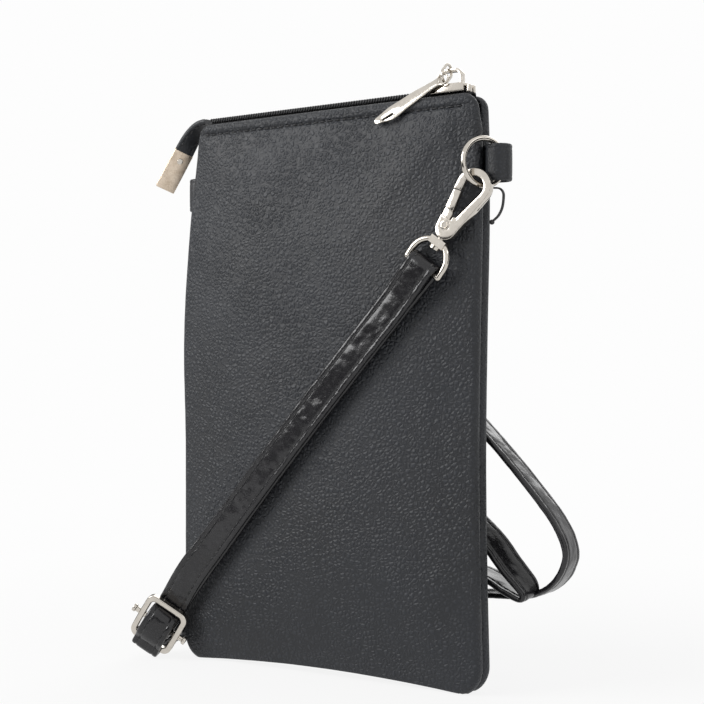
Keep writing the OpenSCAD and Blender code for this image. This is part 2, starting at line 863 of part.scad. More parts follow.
module swivel_eye(side) {
  arc_v = collar_v + eye_r + eye_wire / 2;
  color(metal_tone)
    at_hook(side)
      difference() {
        union() {
          translate([0, arc_v, 0])
            rotate([0, 0, 180])
              rotate_extrude(angle = 180, $fn = 72)
                translate([eye_r, 0])
                  circle(d = eye_wire, $fn = 32);
          for (u = [-eye_r, eye_r])
            translate([u, arc_v, 0])
              rotate([-90, 0, 0])
                cylinder(d = eye_wire, h = bar_v - arc_v, $fn = 32);
          for (u = [-eye_r, eye_r])
            translate([u, bar_v, 0])
              sphere(d = eye_wire, $fn = 32);
          translate([-eye_r, bar_v, 0])
            rotate([0, 90, 0])
              cylinder(d = eye_wire, h = 2 * eye_r, $fn = 32);
          translate([-collar_w / 2, collar_v, -hook_t / 2])
            cube([collar_w, collar_l, hook_t]);
        }
        translate([0, collar_v - overrun, 0])
          rotate([-90, 0, 0])
            cylinder(d = post_d + 2 * running_gap, h = collar_l + 2 * overrun, $fn = 40);
      }
}

// Strap: a flat band swept along points that each carry the direction of the band's width
function between(p, i, s) =
  let (
    n = len(p) - 1,
    a = p[max(i - 1, 0)],
    b = p[i],
    c = p[min(i + 1, n)],
    d = p[min(i + 2, n)]
  )
    0.5 * (2 * b + (c - a) * s + (2 * a - 5 * b + 4 * c - d) * s * s + (3 * b - a - 3 * c + d) * s * s * s);
function smooth(p, steps) = concat(
  [for (i = [0:len(p) - 2], k = [0:steps - 1]) between(p, i, k / steps)],
  [p[len(p) - 1]]
);
function place_of(p) = [p[0], p[1], p[2]];
function width_of(p) = [p[3], p[4], p[5]];
function station(at, width) = concat(at, width);
function band_ring(p, i, wide, thick) =
  let (
    c = place_of(p[i]),
    t = unit(place_of(p[min(i + 1, len(p) - 1)]) - place_of(p[max(i - 1, 0)])),
    w0 = width_of(p[i]),
    w = unit(w0 - t * (w0 * t)),
    up = cross(w, t),
    a = w * wide / 2,
    b = up * thick / 2
  )
    [c + a + b, c - a + b, c - a - b, c + a - b];

module band(p, from, to, wide = strap_w, thick = strap_t) {
  points = [for (i = [from:to]) for (q = band_ring(p, i, wide, thick)) q];
  last = 4 * (to - from);
  polyhedron(
    points,
    concat(
      skin_faces(to - from + 1, 4),
      [[2, 1, 0], [3, 2, 0], [last, last + 1, last + 2], [last, last + 2, last + 3]]
    )
  );
}

// Front run, from the bar of the right eye to the adjuster's bar
run_start = eye_bar(RIGHT);
lean_dir = -[cos(adjuster_lean), 0, sin(adjuster_lean)];
adjuster_across = [
  sin(adjuster_lean) * cos(adjuster_roll),
  sin(adjuster_roll),
  -cos(adjuster_lean) * cos(adjuster_roll)
];
adjuster_dir = lean_dir;
adjuster_back = cross(adjuster_across, adjuster_dir);
adjuster_y = -(
  side_d / 2 + skin_gap + strap_t / 2 + weave_step + layer_step + strap_w / 2 * sin(adjuster_roll)
);
run_end = [adjuster_at_shares[0] * half_w, adjuster_y, adjuster_at_shares[1] * pouch_h];
run_stop = run_end - weave_l * adjuster_dir;
run_flat = [run_stop.x - run_start.x, 0, run_stop.z - run_start.z];
run_dir = unit(run_flat);
run_l = norm(run_flat);
run_across = [-run_dir.z, 0, run_dir.x];
function run_depth(d) =
  let (
    p = run_start + d * run_dir,
    e = strap_w / 2 * run_across
  )
    max([for (k = [-1, 0, 1]) let (q = p + k * e) panel_depth(q.x, q.z)]);
function run_width(d) =
  unit(blend(
    blend(hook_across(RIGHT), run_across, limited(d / strap_w, 0, 1)),
    adjuster_across,
    limited((d - run_l + weave_l) / weave_l, 0, 1)
  ));
// Height of a layer's middle over the panel, along the run
function layer_y(d, layer) =
  -(run_depth(d) + skin_gap + strap_t / 2 + layer * layer_step + strap_w / 2 * abs(run_width(d).y));
function run_station(d, layer) =
  let (
    p = run_start + d * run_dir,
    near = limited(d / fan_l, 0, 1),
    fold_y = run_start.y + (layer == 0 ? 1 : -1) * strap_bend_r,
    y = blend(fold_y, layer_y(max(d, fan_l), layer), near * near * (3 - 2 * near))
  )
    station([p.x, y, p.z], run_width(d));
run_stations = [for (i = [0:run_steps]) run_l * i / run_steps];

// Turn round the eye's bar, from the inner layer to the outer one
fold_up = cross(hook_across(RIGHT), [0, 1, 0]);
function fold_station(a) = station(
  run_start + strap_bend_r * (cos(a) * [0, 1, 0] + sin(a) * [-run_dir.x, 0, -run_dir.z]),
  hook_across(RIGHT)
);
eye_turn = [for (a = [15:15:165]) fold_station(a)];

// Places about the adjuster's bar: distance along the strap, then distance behind the bar
function at_bar(along, behind) =
  station(run_end + along * adjuster_dir + behind * adjuster_back, adjuster_across);
bar_turn_r = bar_d / 2 + layer_gap + strap_t / 2;
under_y = weave_step + layer_step;

function wrap(along, r, a0, a1, n) = [for (i = [0:n]) let (a = blend(a0, a1, i / n)) at_bar(along + r * sin(a), r * cos(a))];
over_y = -(bar_turn_r + layer_step);
cross_r = frame_gap + strap_t / 2;
cross_at = [-adjuster_l / 2 + frame_bar, frame_t / 2];
over_shares = [0.72, 0.8];

// Turn round an outer corner of the frame's lower bar, in front of it or behind it
hug_r = frame_gap + strap_t / 2;
hug_steps = 6;
function hug(face, a0, a1) = [
  for (i = [0:hug_steps])
    let (a = blend(a0, a1, i / hug_steps))
      at_bar(frame_pitch + frame_bar / 2 + hug_r * sin(a), face * frame_t / 2 + hug_r * cos(a))
];
inner_path = concat(
  smooth(
    concat(
      [for (d = run_stations) run_station(d, 0)],
      [at_bar(-frame_pitch, under_y), at_bar(0, bar_turn_r)]
    ),
    path_steps
  ),
  wrap(0, bar_turn_r, 15, 180, 9)
);
outer_path = concat(
  eye_turn,
  smooth(
    concat(
      [for (d = run_stations) run_station(d, 1)],
      [
        at_bar(-frame_pitch - frame_bar, weave_step),
        for (a = [80:-40:0]) at_bar(cross_at.x + cross_r * cos(a), cross_at.y + cross_r * sin(a)),
        at_bar(cross_at.x + cross_r, -cross_at.y),
        at_bar((cross_at.x + cross_r) * over_shares[0], over_y * over_shares[1]),
        at_bar(0, over_y),
        at_bar(frame_pitch / 2, over_y),
        at_bar(frame_pitch - frame_bar / 2, -frame_t / 2 - hug_r)
      ]
    ),
    path_steps
  ),
  hug(-1, 180, 90),
  hug(1, 90, 45)
);

// Route behind the pouch, in shares of half the width, of the depth and of the height,
// each with the direction of the band's width. It runs from the adjuster to the left hook.
back_route_shares = [
  [-1.152, -0.22, 0.034, 0.75, 0.05, -0.64],
  [-1.13, 0.1, 0.045, 0.6, 0.1, -0.7],
  [-1.06, 0.38, 0.055, 0.35, 0.2, -0.9],
  [-0.93, 0.58, 0.068, 0.1, 0.5, -0.8],
  [-0.74, 0.72, 0.092, 0, 0.85, -0.5],
  [-0.42, 0.79, 0.17, 0, 1, -0.1],
  [0, 0.81, 0.262, 0, 1, 0],
  [0.36, 0.8, 0.306, 0, 1, 0.1],
  [0.68, 0.74, 0.305, 0.1, 0.95, 0.2],
  [0.92, 0.625, 0.257, 0.28, 0.92, 0.28],
  [1.06, 0.62, 0.208, 0.28, 0.92, 0.28],
  [1.15, 0.63, 0.177, 0.2, 0.95, 0.2],
  [1.165, 0.64, 0.162, 0.05, 1, 0.1],
  [1.125, 0.65, 0.158, -0.1, 1, 0.1],
  [1.03, 0.66, 0.17, -0.1, 1, 0.15],
  [0.92, 0.68, 0.187, 0, 1, 0.15],
  [0.7, 0.76, 0.2, 0, 1, 0.05],
  [0.46, 0.81, 0.195, 0, 1, 0],
  [0.355, 0.85, 0.18, 0, 1, 0],
  [0.34, 0.91, 0.162, 0, 1, 0],
  [0.4, 1, 0.147, 0, 1, 0],
  [0.6, 1.15, 0.143, 0, 1, 0],
  [0.86, 1.25, 0.146, 0, 1, 0],
  [1.09, 1.2, 0.152, 0, 1, 0],
  [1.255, 0.94, 0.172, 0, 1, 0],
  [1.365, 0.74, 0.203, 0, 1, 0],
  [1.405, 0.66, 0.241, 0, 1, 0],
  [1.34, 0.66, 0.287, 0, 1, 0],
  [1.18, 0.66, 0.347, 0, 1, 0],
  [0.965, 0.67, 0.417, 0, 1, 0],
  [0.73, 0.75, 0.477, 0, 1, 0],
  [0.36, 0.8, 0.53, 0, 1, 0],
  [0, 0.81, 0.572, 0, 1, 0],
  [-0.33, 0.8, 0.612, 0.2, 0.9, 0.2]
];

left_bar = eye_bar(LEFT);
left_away = unit([0.62, 0, -0.78]);
back_path = concat(
  smooth(
    concat(
      [
        outer_path[len(outer_path) - 1],
        for (p = back_route_shares)
          [p[0] * half_w, p[1] * pouch_d, p[2] * pouch_h, p[3], p[4], p[5]]
      ],
      [
        station(left_bar + 3 * strap_w * left_away / 2 + [0, strap_t / 2, 0], hook_across(LEFT)),
        station(left_bar + strap_w * left_away / 2 + [0, strap_t, 0], hook_across(LEFT))
      ]
    ),
    path_steps
  ),
  [
    for (a = [0:15:210])
      station(left_bar + strap_bend_r * (cos(a) * [0, 1, 0] - sin(a) * left_away), hook_across(LEFT))
  ]
);

// The strap is one band. It starts at the adjuster's bar, turns round the right eye, goes through
// the adjuster and round its lower bar, and ends round the left eye.
strap_path = concat(reversed(inner_path), outer_path, [for (i = [1:len(back_path) - 1]) back_path[i]]);
turn_at = len(inner_path) - 1;
back_at = turn_at + len(outer_path);

module strap_inner() {
  color(strap_tone)
    band(strap_path, 0, turn_at);
}

module strap_outer() {
  color(strap_tone)
    band(strap_path, turn_at, back_at);
}

module strap_back() {
  color(strap_tone)
    band(strap_path, back_at, len(strap_path) - 1);
}

// Adjuster: a frame that tilts on its centre bar
module rounded_plate(w, l, r) {
  square([w - 2 * r, l], center = true);
  square([w, l - 2 * r], center = true);
  for (x = [-1, 1], y = [-1, 1])
    translate([x * (w / 2 - r), y * (l / 2 - r)])
      circle(r = r, $fn = 48);
}

module at_adjuster() {
  place(run_end, adjuster_across, adjuster_dir)
    children();
}

module adjuster_frame() {
  color(metal_tone)
    at_adjuster()
      difference() {
        slab(frame_t)
          difference() {
            rounded_plate(adjuster_w, adjuster_l, frame_corner_r);
            rounded_plate(adjuster_w - 2 * frame_bar, adjuster_l - 2 * frame_bar, frame_inner_r);
          }
        translate([-adjuster_w, 0, 0])
          rotate([0, 90, 0])
            cylinder(d = bar_d + 2 * running_gap, h = 2 * adjuster_w, $fn = 40);
      }
}

module adjuster_bar() {
  half = adjuster_w / 2 + bar_over;
  color(metal_tone)
    at_adjuster() {
      translate([-half, 0, 0])
        rotate([0, 90, 0])
          cylinder(d = bar_d, h = 2 * half, $fn = 40);
      for (x = [-half - bar_head_t, half])
        translate([x, 0, 0])
          rotate([0, 90, 0])
            cylinder(r = bar_head_r, h = bar_head_t, $fn = 40);
    }
}

// Thin string loop under the right tab
tag_wire_r = 0.35;
tag_sides = 8;
tube_side = unit([0, 1, 0.01]);
catch_r = 0.85;
tag_route = [
  [62, 0, 166.2], [62.8, 0, 164.8], [65.8, 0.2, 164.4], [67.1, 0.4, 163], [67.1, 0.6, 160.8],
  [66.6, 0.6, 158], [65.4, 0.4, 155.6], [64, 0, 154.2]
];
function tube_ring(p, i, r, n) =
  let (
    t = unit(p[min(i + 1, len(p) - 1)] - p[max(i - 1, 0)]),
    a = unit(cross(t, tube_side)),
    b = cross(t, a)
  )
    [for (k = [0:n - 1]) let (angle = -360 * k / n) p[i] + r * (cos(angle) * a + sin(angle) * b)];

module tube(p, r, n) {
  points = [for (i = [0:len(p) - 1]) for (q = tube_ring(p, i, r, n)) q];
  polyhedron(
    concat(points, [p[0], p[len(p) - 1]]),
    concat(skin_faces(len(p), n), fan_faces(len(p), n))
  );
}

module tag_loop() {
  color(zip_tone)
    tube(smooth(tag_route, 3), tag_wire_r, tag_sides);
}

module tag_catch() {
  n = len(tag_route);
  way = unit(tag_route[n - 1] - tag_route[n - 2]);
  color(zip_tone)
    translate(tag_route[n - 1] + (catch_r + running_gap) * way)
      sphere(r = catch_r, $fn = 24);
}

front_panel();
back_panel();
front_lining();
back_lining();
zip_tape(LEFT);  // zip_tape_front
zip_tape(RIGHT);  // zip_tape_back
zip_coil(LEFT);  // zip_coil_front
zip_coil(RIGHT);  // zip_coil_back
zip_stop(LEFT);  // zip_stop_front
zip_stop(RIGHT);  // zip_stop_back
zip_slider();
zip_link();
zip_pull();
zip_tail();
zip_end_plate();
zip_end_stud();
tab(RIGHT);  // tab_right
tab(LEFT);  // tab_left
ring(RIGHT);  // ring_right
ring(LEFT);  // ring_left
hook_body(RIGHT);  // hook_body_right
hook_gate(RIGHT);  // hook_gate_right
gate_rivet(RIGHT);  // gate_rivet_right
gate_spring(RIGHT);  // gate_spring_right
swivel_post(RIGHT);  // swivel_post_right
swivel_eye(RIGHT);  // swivel_eye_right
hook_body(LEFT);  // hook_body_left
hook_gate(LEFT);  // hook_gate_left
gate_rivet(LEFT);  // gate_rivet_left
gate_spring(LEFT);  // gate_spring_left
swivel_post(LEFT);  // swivel_post_left
swivel_eye(LEFT);  // swivel_eye_left
strap_inner();
strap_outer();
strap_back();
adjuster_frame();
adjuster_bar();
tag_loop();
tag_catch();
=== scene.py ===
"""Looks of the phone pouch: grained leather panels, stitched strap, zip and plated metal pieces.

The script runs as it stands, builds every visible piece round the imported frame, and is laid out
as an add-on. Sizes are in millimetres until a mesh is made, and in metres in Blender.
"""

import json
import math

import bmesh
import bpy
import numpy as np
from bpy.props import FloatProperty, PointerProperty, StringProperty
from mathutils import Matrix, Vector, noise


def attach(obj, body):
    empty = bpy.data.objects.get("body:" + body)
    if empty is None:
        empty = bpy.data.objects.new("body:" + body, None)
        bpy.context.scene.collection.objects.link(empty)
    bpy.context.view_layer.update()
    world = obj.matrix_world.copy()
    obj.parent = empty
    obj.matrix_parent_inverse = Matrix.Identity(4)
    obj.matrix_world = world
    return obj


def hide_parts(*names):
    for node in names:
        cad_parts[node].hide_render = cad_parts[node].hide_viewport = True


bl_info = {
    "name": "Phone Pouch",
    "version": (1, 0, 0),
    "blender": (4, 5, 0),
    "location": "View3D > Sidebar > Pouch",
    "description": "Builds the pieces and finishes of a phone pouch round its packed frame",
    "category": "Object",
}

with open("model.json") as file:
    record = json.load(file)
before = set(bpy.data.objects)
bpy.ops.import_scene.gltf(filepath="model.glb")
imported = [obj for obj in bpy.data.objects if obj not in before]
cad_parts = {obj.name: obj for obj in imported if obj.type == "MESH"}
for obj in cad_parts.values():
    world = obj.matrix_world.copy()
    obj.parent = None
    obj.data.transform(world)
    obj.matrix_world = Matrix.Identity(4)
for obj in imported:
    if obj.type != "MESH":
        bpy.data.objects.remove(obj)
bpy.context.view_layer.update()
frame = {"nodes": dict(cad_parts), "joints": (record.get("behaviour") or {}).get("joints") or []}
JOINTS = {joint["name"]: joint for joint in frame["joints"]}
MM = 0.001
LEFT = -1
RIGHT = 1


# Small helpers for numbers and vectors
def unit(v):
    """Direction of v, at length one."""
    v = np.asarray(v, float)
    return v / np.linalg.norm(v)


def blended(a, b, s):
    """Value a share s of the way from a to b."""
    return a + (b - a) * s


def limited(v, low=0.0, high=1.0):
    """v kept between two limits."""
    return np.clip(v, low, high)


def eased(v):
    """A soft step from 0 to 1."""
    v = limited(v)
    return v * v * (3 - 2 * v)


def hump(v, centre, width):
    """A round hump of height one."""
    return np.exp(-(((v - centre) / width) ** 2))


def joint_place(name):
    """A joint's point, in millimetres."""
    return np.array(JOINTS[name]["pos_m"]) / MM


def joint_axis(name):
    """A joint's axis."""
    return unit(JOINTS[name]["axis"])


# Sizes of the pouch, as in the construction
POUCH_W = 121.0
POUCH_H = 195.6
POUCH_D = 20.4
SIDE_D = 9.8
CORNER_R = 10.0
MOUTH_CORNER_R = 5.0
DRAW_LEFT = 8.0
DRAW_RIGHT = 0.8
LEATHER_T = 1.4
FOLD_T = 3.0
LINING_T = 0.5
LINING_GAP = 0.8
LINING_DROP = 9.0
MOUTH_TILT = math.radians(1.3)
SEAM_GAP = 0.1
MOUTH_HALF = 2.4
FOLD_BLEND = 12.0
HALF_W = POUCH_W / 2
LOBE_R = (SIDE_D / 2 - SEAM_GAP) / 2
FOLD_R = FOLD_T / 2
BASE_CUT = LOBE_R * 0.51
CROWN_TOP_SHARE = 0.86
CROWN_POWER_SHARE = 2.2
SAG_POWER_SHARE = 4
LEFT_DRAW_SHARES = [0.15, 0.17, 0.17, 0.08, 0.43, 1]
RIGHT_DRAW_SHARES = [-0.9, 0.3, 0.9, 0.3, -0.7, -0.3]
BASE_ARCH = 2.4
BASE_ARCH_UP = 26.0
STITCH_DOWN = 4.2
BASE_ARC_STEPS = 12
MOUTH_ARC_STEPS = 8
LEVEL_STEPS = 80
UPRIGHT_STEPS = 130

# Sizes of the zip
ZIP_INSET = 3.2
COIL_SLIT = 0.9
COIL_W = 1.6
COIL_H = 2.0
COIL_PITCH = 1.05
COIL_WIRE_R = 0.38
COIL_TURN_STEPS = 14
COIL_WIRE_SIDES = 8
TAPE_STEPS = 60
TAPE_T = 0.45
TAPE_RISE = 0.6
TAPE_FOOT = 9.0
TAPE_GAP = 0.2
TAPE_BEND = 0.6
STOP_L = 1.6
PART_GAP = 0.3
TAIL_L = 16.0
TAIL_W = 7.2
TAIL_T = 2.0
TAIL_TURNS = [0, 12, 28, 40, 48, 53, 54]
TAIL_TWIST = math.radians(42)
TAIL_STEPS = 6
TAIL_CROWN = 0.15
ZIP_LEFT = -(HALF_W - DRAW_LEFT - ZIP_INSET)
ZIP_RIGHT = HALF_W - DRAW_RIGHT - ZIP_INSET
TAPE_Z = POUCH_H + TAPE_RISE
COIL_TOP_Z = TAPE_Z + COIL_H
TAPE_OUT = MOUTH_HALF - TAPE_GAP

# Sizes of the tabs
TAB_Z = {RIGHT: 172.5, LEFT: 169.0}
TAB_W = 12.0
TAB_T = 1.3
TAB_BEND = {RIGHT: math.radians(8), LEFT: math.radians(60)}
TAB_KNEE_OUT = 1.8
TAB_ROOT_IN = 1.1
RING_R = 7.6
RING_WIRE = 1.9
TAB_RING_GAP = 0.15
TAB_NECK_STEPS = 10
TAB_TURN_STEPS = 31
TAB_STEPS = 3
TAB_CROWN = 0.05
# Share of its thickness that a tab has left where it is sewn into the seam
TAB_THIN_SHARE = 0.35

# Sizes of the strap and its adjuster
STRAP_W = 10.8
STRAP_T = 2.0
EYE_WIRE = 2.2
BEND_GAP = 0.3
SKIN_GAP = 0.45
LAYER_GAP = 0.25
ADJUSTER_LEAN = math.radians(55)
ADJUSTER_L = 18.0
FRAME_BAR = 2.1
FRAME_T = 2.6
FRAME_GAP = 0.4
BAR_D = 2.0
FAN_L = 12.0
WEAVE_OVER = 6.0
RUN_STEPS = 9
STRAP_STEPS = 12
STRAP_CROWN = 0.12
STITCH_PITCH = 2.9
STITCH_L = 2.2
STITCH_R = 0.27
# Share of a stitch's radius by which its line lies under the leather's face
STITCH_SUNK = 0.3
# Sections of a stitch: place along it, rise and radius, as shares of its length and its radius
STITCH_SECTIONS = ((0, -0.9, 0.7), (0.12, 0.1, 1), (0.5, 0.35, 1.1), (0.88, 0.1, 1), (1, -0.9, 0.7))
STITCH_SIDES = 6
# The most that a band's edge is rounded and its crumpled face bulges, and half the width of its grooves
BAND_EDGE_R = 0.75
MOST_BULGE = 0.1
GROOVE_HALF = 0.32
# Sections of the leather bands: width, thickness, and the stitches' groove, in from the edge and deep
TAIL_SECTION = (TAIL_W, TAIL_T, 1.3, 0.1)
TAB_SECTION = (TAB_W, TAB_T, 1.6, 0.08)
STRAP_SECTION = (STRAP_W, STRAP_T, 2.0, 0.28)
# Way from the left eye's bar to the strap, before it turns
LEFT_EYE_WAY = [0.62, 0, -0.78]


# Shape of the panels
def table_at(table, share):
    """Smooth value of an evenly spaced table at a share of its length."""
    t = np.asarray(table, float)
    f = limited(np.asarray(share, float)) * (len(t) - 1)
    i = np.minimum(np.floor(f).astype(int), len(t) - 2)
    g = f - i
    low, high = t[i], t[i + 1]
    m0 = (high - t[np.maximum(i - 1, 0)]) / 2
    m1 = (t[np.minimum(i + 2, len(t) - 1)] - low) / 2
    return low + m0 * g + (3 * (high - low) - 2 * m0 - m1) * g**2 + (2 * (low - high) + m0 + m1) * g**3


def drawn(x, z):
    """Place across the pouch once its sides have drawn in."""
    left = DRAW_LEFT * table_at(LEFT_DRAW_SHARES, z / POUCH_H)
    right = DRAW_RIGHT * table_at(RIGHT_DRAW_SHARES, z / POUCH_H)
    return x * (1 - np.where(x < 0, left, right) / HALF_W)


def mouth_drop(x, z):
    """How far the slope of the mouth takes a place down."""
    return math.tan(MOUTH_TILT) * (ZIP_RIGHT - x) * limited(z / POUCH_H) ** SAG_POWER_SHARE


def sagged(x, z):
    """Height once the mouth has dropped to the left and the bottom edge has arched up."""
    across = limited(1 - (x / (HALF_W - CORNER_R / 2)) ** 2)
    return z - mouth_drop(x, z) + BASE_ARCH * across * (1 - limited(z / BASE_ARCH_UP)) ** 2


def on_mouth(points):
    """Points of the level zip, turned to the slope of the mouth."""
    p = np.asarray(points, float) - [ZIP_RIGHT, 0, POUCH_H]
    c, s = math.cos(MOUTH_TILT), math.sin(MOUTH_TILT)
    x = p[..., 0] * c - p[..., 2] * s + ZIP_RIGHT
    z = p[..., 0] * s + p[..., 2] * c + POUCH_H
    return np.stack([x, p[..., 1], z], -1)


def spine_depth(z):
    """Depth of the pouch's outside along its middle."""
    return POUCH_D / 2 * blended(1, CROWN_TOP_SHARE, limited((z - HALF_W) / (POUCH_H - POUCH_W)))


def swell(s):
    """Rise of the crown from the edge to the spine."""
    return 1 - (1 - s) ** CROWN_POWER_SHARE


def panel_depth(x, z):
    """Depth of the panel's outside at a place on it."""
    a = HALF_W - LOBE_R
    q = max(abs(x) / a, (HALF_W - z) / HALF_W, (z - POUCH_H + HALF_W) / HALF_W)
    return blended(SIDE_D / 2, spine_depth(z), swell(1 - limited(q)))


def edge_arc(centre, r, a0, a1, n):
    """Points of a rounded corner of the panel's edge, each with its outward direction."""
    angles = np.radians(np.linspace(a0, a1, n + 1))
    way = np.stack([np.cos(angles), np.sin(angles)], -1)
    return np.hstack([np.asarray(centre) + r * way, way])


def edge_line(start, end, way, n):
    """Inner points of a straight stretch of the panel's edge."""
    s = np.arange(1, n)[:, None] / n
    line = blended(np.asarray(start, float), np.asarray(end, float), s)
    return np.hstack([line, np.tile(way, (n - 1, 1))])


def panel_edge(height):
    """Ring of points round a panel, each with its outward direction."""
    a = HALF_W - LOBE_R
    low = LOBE_R - BASE_CUT
    high = height - FOLD_R
    rb = CORNER_R - LOBE_R
    rt = MOUTH_CORNER_R - FOLD_R
    parts = [
        edge_arc([-a + rb, low + rb], rb, 180, 270, BASE_ARC_STEPS),
        edge_line([-a + rb, low], [a - rb, low], [0, -1], LEVEL_STEPS),
        edge_arc([a - rb, low + rb], rb, 270, 360, BASE_ARC_STEPS),
        edge_line([a, low + rb], [a, high - rt], [1, 0], UPRIGHT_STEPS),
        edge_arc([a - rt, high - rt], rt, 0, 90, MOUTH_ARC_STEPS),
        edge_line([a - rt, high], [-a + rt, high], [0, 1], LEVEL_STEPS),
        edge_arc([-a + rt, high - rt], rt, 90, 180, MOUTH_ARC_STEPS),
        edge_line([-a, high - rt], [-a, low + rb], [-1, 0], UPRIGHT_STEPS),
    ]
    return np.vstack(parts)


def leather_waves(x, z, across, down, seed):
    """Smooth noise over a panel, with waves of these lengths."""
    return np.array([noise.noise(Vector((a / across, b / down, seed))) for a, b in zip(x, z)])


def creases(x, z, seed):
    """In and out movement of the leather, in millimetres, from shapes that add up."""
    edge = np.minimum(HALF_W - np.abs(x), np.minimum(z, POUCH_H - z))
    down = POUCH_H - z - mouth_drop(x, z)
    soft = leather_waves(x, z, 34, 46, seed)
    fine = leather_waves(x, z, 9, 13, seed + 5)
    # Folds that run out of the right upper corner
    corner = hump(x, 54, 12) * hump(z, 168, 24)
    folds = np.sin((HALF_W - x + 0.22 * (POUCH_H - z)) / 1.7 + 1.6 * soft)
    # Puckers along the seam, and gathers under the mouth's stitches
    pucker = np.sin(z / 2.1 + 4 * fine) * np.exp(-np.maximum(edge, 0) / 4.5)
    gathers = np.sin(x / 1.1 + 3 * fine) * np.exp(-np.maximum(down - STITCH_DOWN, 0) / 5) * (0.4 + corner)
    # A broad dent to the right of the middle, and a swelling at the left
    dent = -0.7 * hump(x + 0.3 * z, 34, 15) * hump(z, 118, 40)
    dent = dent + 0.5 * hump(x - 0.2 * z, -58, 16) * hump(z, 140, 40)
    waves = np.maximum(0.6 * soft + 0.16 * fine + 0.22 * corner * folds + 0.16 * pucker + dent, -0.6)
    # The groove that the stitches pull in, and the roll of the mouth above it
    seam = hump(down, STITCH_DOWN, 0.62)
    roll = 0.36 * hump(down, 1.9, 1.3) * (1 + 0.5 * fine)
    return waves + 0.14 * gathers * limited(down / STITCH_DOWN) + roll - 0.6 * seam


def fold_blends(z):
    """Share of the folded mouth in an edge point, from its height."""
    return limited((z - POUCH_H + FOLD_BLEND) / (FOLD_BLEND - FOLD_R))


def edge_depth(z):
    """Depth of a panel's outside at its edge."""
    return blended(SEAM_GAP + 2 * LOBE_R, MOUTH_HALF + FOLD_T, fold_blends(z))


def lobe_ring(edge, angle, inset):
    """One ring round the turned edge of a panel."""
    s = fold_blends(edge[:, 1])
    r = blended(LOBE_R, FOLD_R, s)
    gap = blended(SEAM_GAP, MOUTH_HALF, s)
    reach = (r - inset) * math.sin(angle)
    z = np.maximum(edge[:, 1] + edge[:, 3] * reach, inset)
    x = edge[:, 0] + edge[:, 2] * reach
    return np.stack([drawn(x, z), -(gap + r) + (r - inset) * math.cos(angle), sagged(edge[:, 0], z)], -1)


def crown_ring(edge, share, inset):
    """One ring between a panel's edge and its spine."""
    spine_z = limited(edge[:, 1], HALF_W, POUCH_H - HALF_W)
    x = edge[:, 0] * (1 - share)
    z = blended(edge[:, 1], spine_z, share)
    y = -blended(edge_depth(edge[:, 1]) - inset, spine_depth(spine_z) - inset, swell(share))
    return np.stack([drawn(x, z), y, sagged(x, z)], -1)


def panel_rings(edge, inset, lobe_steps, crown_shares):
    """Rings of one face of a panel, from the seam to the spine."""
    lobes = [lobe_ring(edge, math.pi * k / lobe_steps, inset) for k in range(lobe_steps + 1)]
    return lobes + [crown_ring(edge, share, inset) for share in crown_shares]


# Mesh tools
def ring_faces(rings, n):
    """Quads between closed rings of n points."""
    corners = [(k * n, i, (i + 1) % n) for k in range(rings - 1) for i in range(n)]
    return [(row + i, row + j, row + n + j, row + n + i) for row, i, j in corners]


def make_piece(name, skin, finish_name, body, replaces=(), sharp=None):
    """A mesh object in metres, from points in millimetres and faces, that rides on a body."""
    points, faces = skin
    mesh = bpy.data.meshes.new(name)
    mesh.from_pydata([tuple(p) for p in np.asarray(points) * MM], [], faces)
    mesh.validate()
    bm = bmesh.new()
    bm.from_mesh(mesh)
    bmesh.ops.remove_doubles(bm, verts=bm.verts, dist=1e-7)
    bmesh.ops.recalc_face_normals(bm, faces=bm.faces)
    bm.to_mesh(mesh)
    bm.free()
    place_piece(name, mesh, finish_name, body, replaces, sharp)


def place_piece(name, mesh, finish_name, body, replaces, sharp):
    """Shades a mesh, gives it its finish and seats it on its body."""
    mesh.materials.clear()
    mesh.materials.append(finish(finish_name))
    mesh.shade_smooth()
    if sharp:
        mesh.set_sharp_from_angle(angle=math.radians(sharp))
    piece = bpy.data.objects.new(name, mesh)
    bpy.context.scene.collection.objects.link(piece)
    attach(piece, body)
    if replaces:
        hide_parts(*replaces)


def sweep(rings):
    """Points and faces of a skin over closed rings, capped at both ends."""
    n = len(rings[0])
    points = np.vstack(rings)
    faces = ring_faces(len(rings), n)
    faces.append(tuple(range(n - 1, -1, -1)))
    faces.append(tuple(range(len(points) - n, len(points))))
    return points, faces


def joined(parts):
    """Points and faces of several skins in one mesh."""
    points, faces, start = [], [], 0
    for part_points, part_faces in parts:
        points.append(part_points)
        faces += [tuple(i + start for i in face) for face in part_faces]
        start += len(part_points)
    return np.vstack(points), faces


def circle(r, out, beside, sides):
    """Points of a circle round its middle, in the plane of two directions."""
    angles = 2 * math.pi * np.arange(sides) / sides
    return r * (np.cos(angles)[:, None] * out + np.sin(angles)[:, None] * beside)


def lengths_along(points):
    """Length of a line of points up to each of them."""
    return np.concatenate([[0], np.cumsum(np.linalg.norm(np.diff(points, axis=0), axis=1))])


def rows_at_unit(rows):
    """Each row at length one."""
    return rows / np.linalg.norm(rows, axis=1)[:, None]


def smooth_path(controls, steps):
    """A curve through control rows, with the given steps between two rows."""
    p = np.asarray(controls, float)
    n = len(p) - 1
    rows = []
    for i in range(n):
        a, b, c, d = p[max(i - 1, 0)], p[i], p[i + 1], p[min(i + 2, n)]
        square, cube = 2 * a - 5 * b + 4 * c - d, 3 * b - a - 3 * c + d
        for s in np.arange(steps) / steps:
            rows.append(0.5 * (2 * b + (c - a) * s + square * s**2 + cube * s**3))
    rows.append(p[n])
    return np.array(rows)


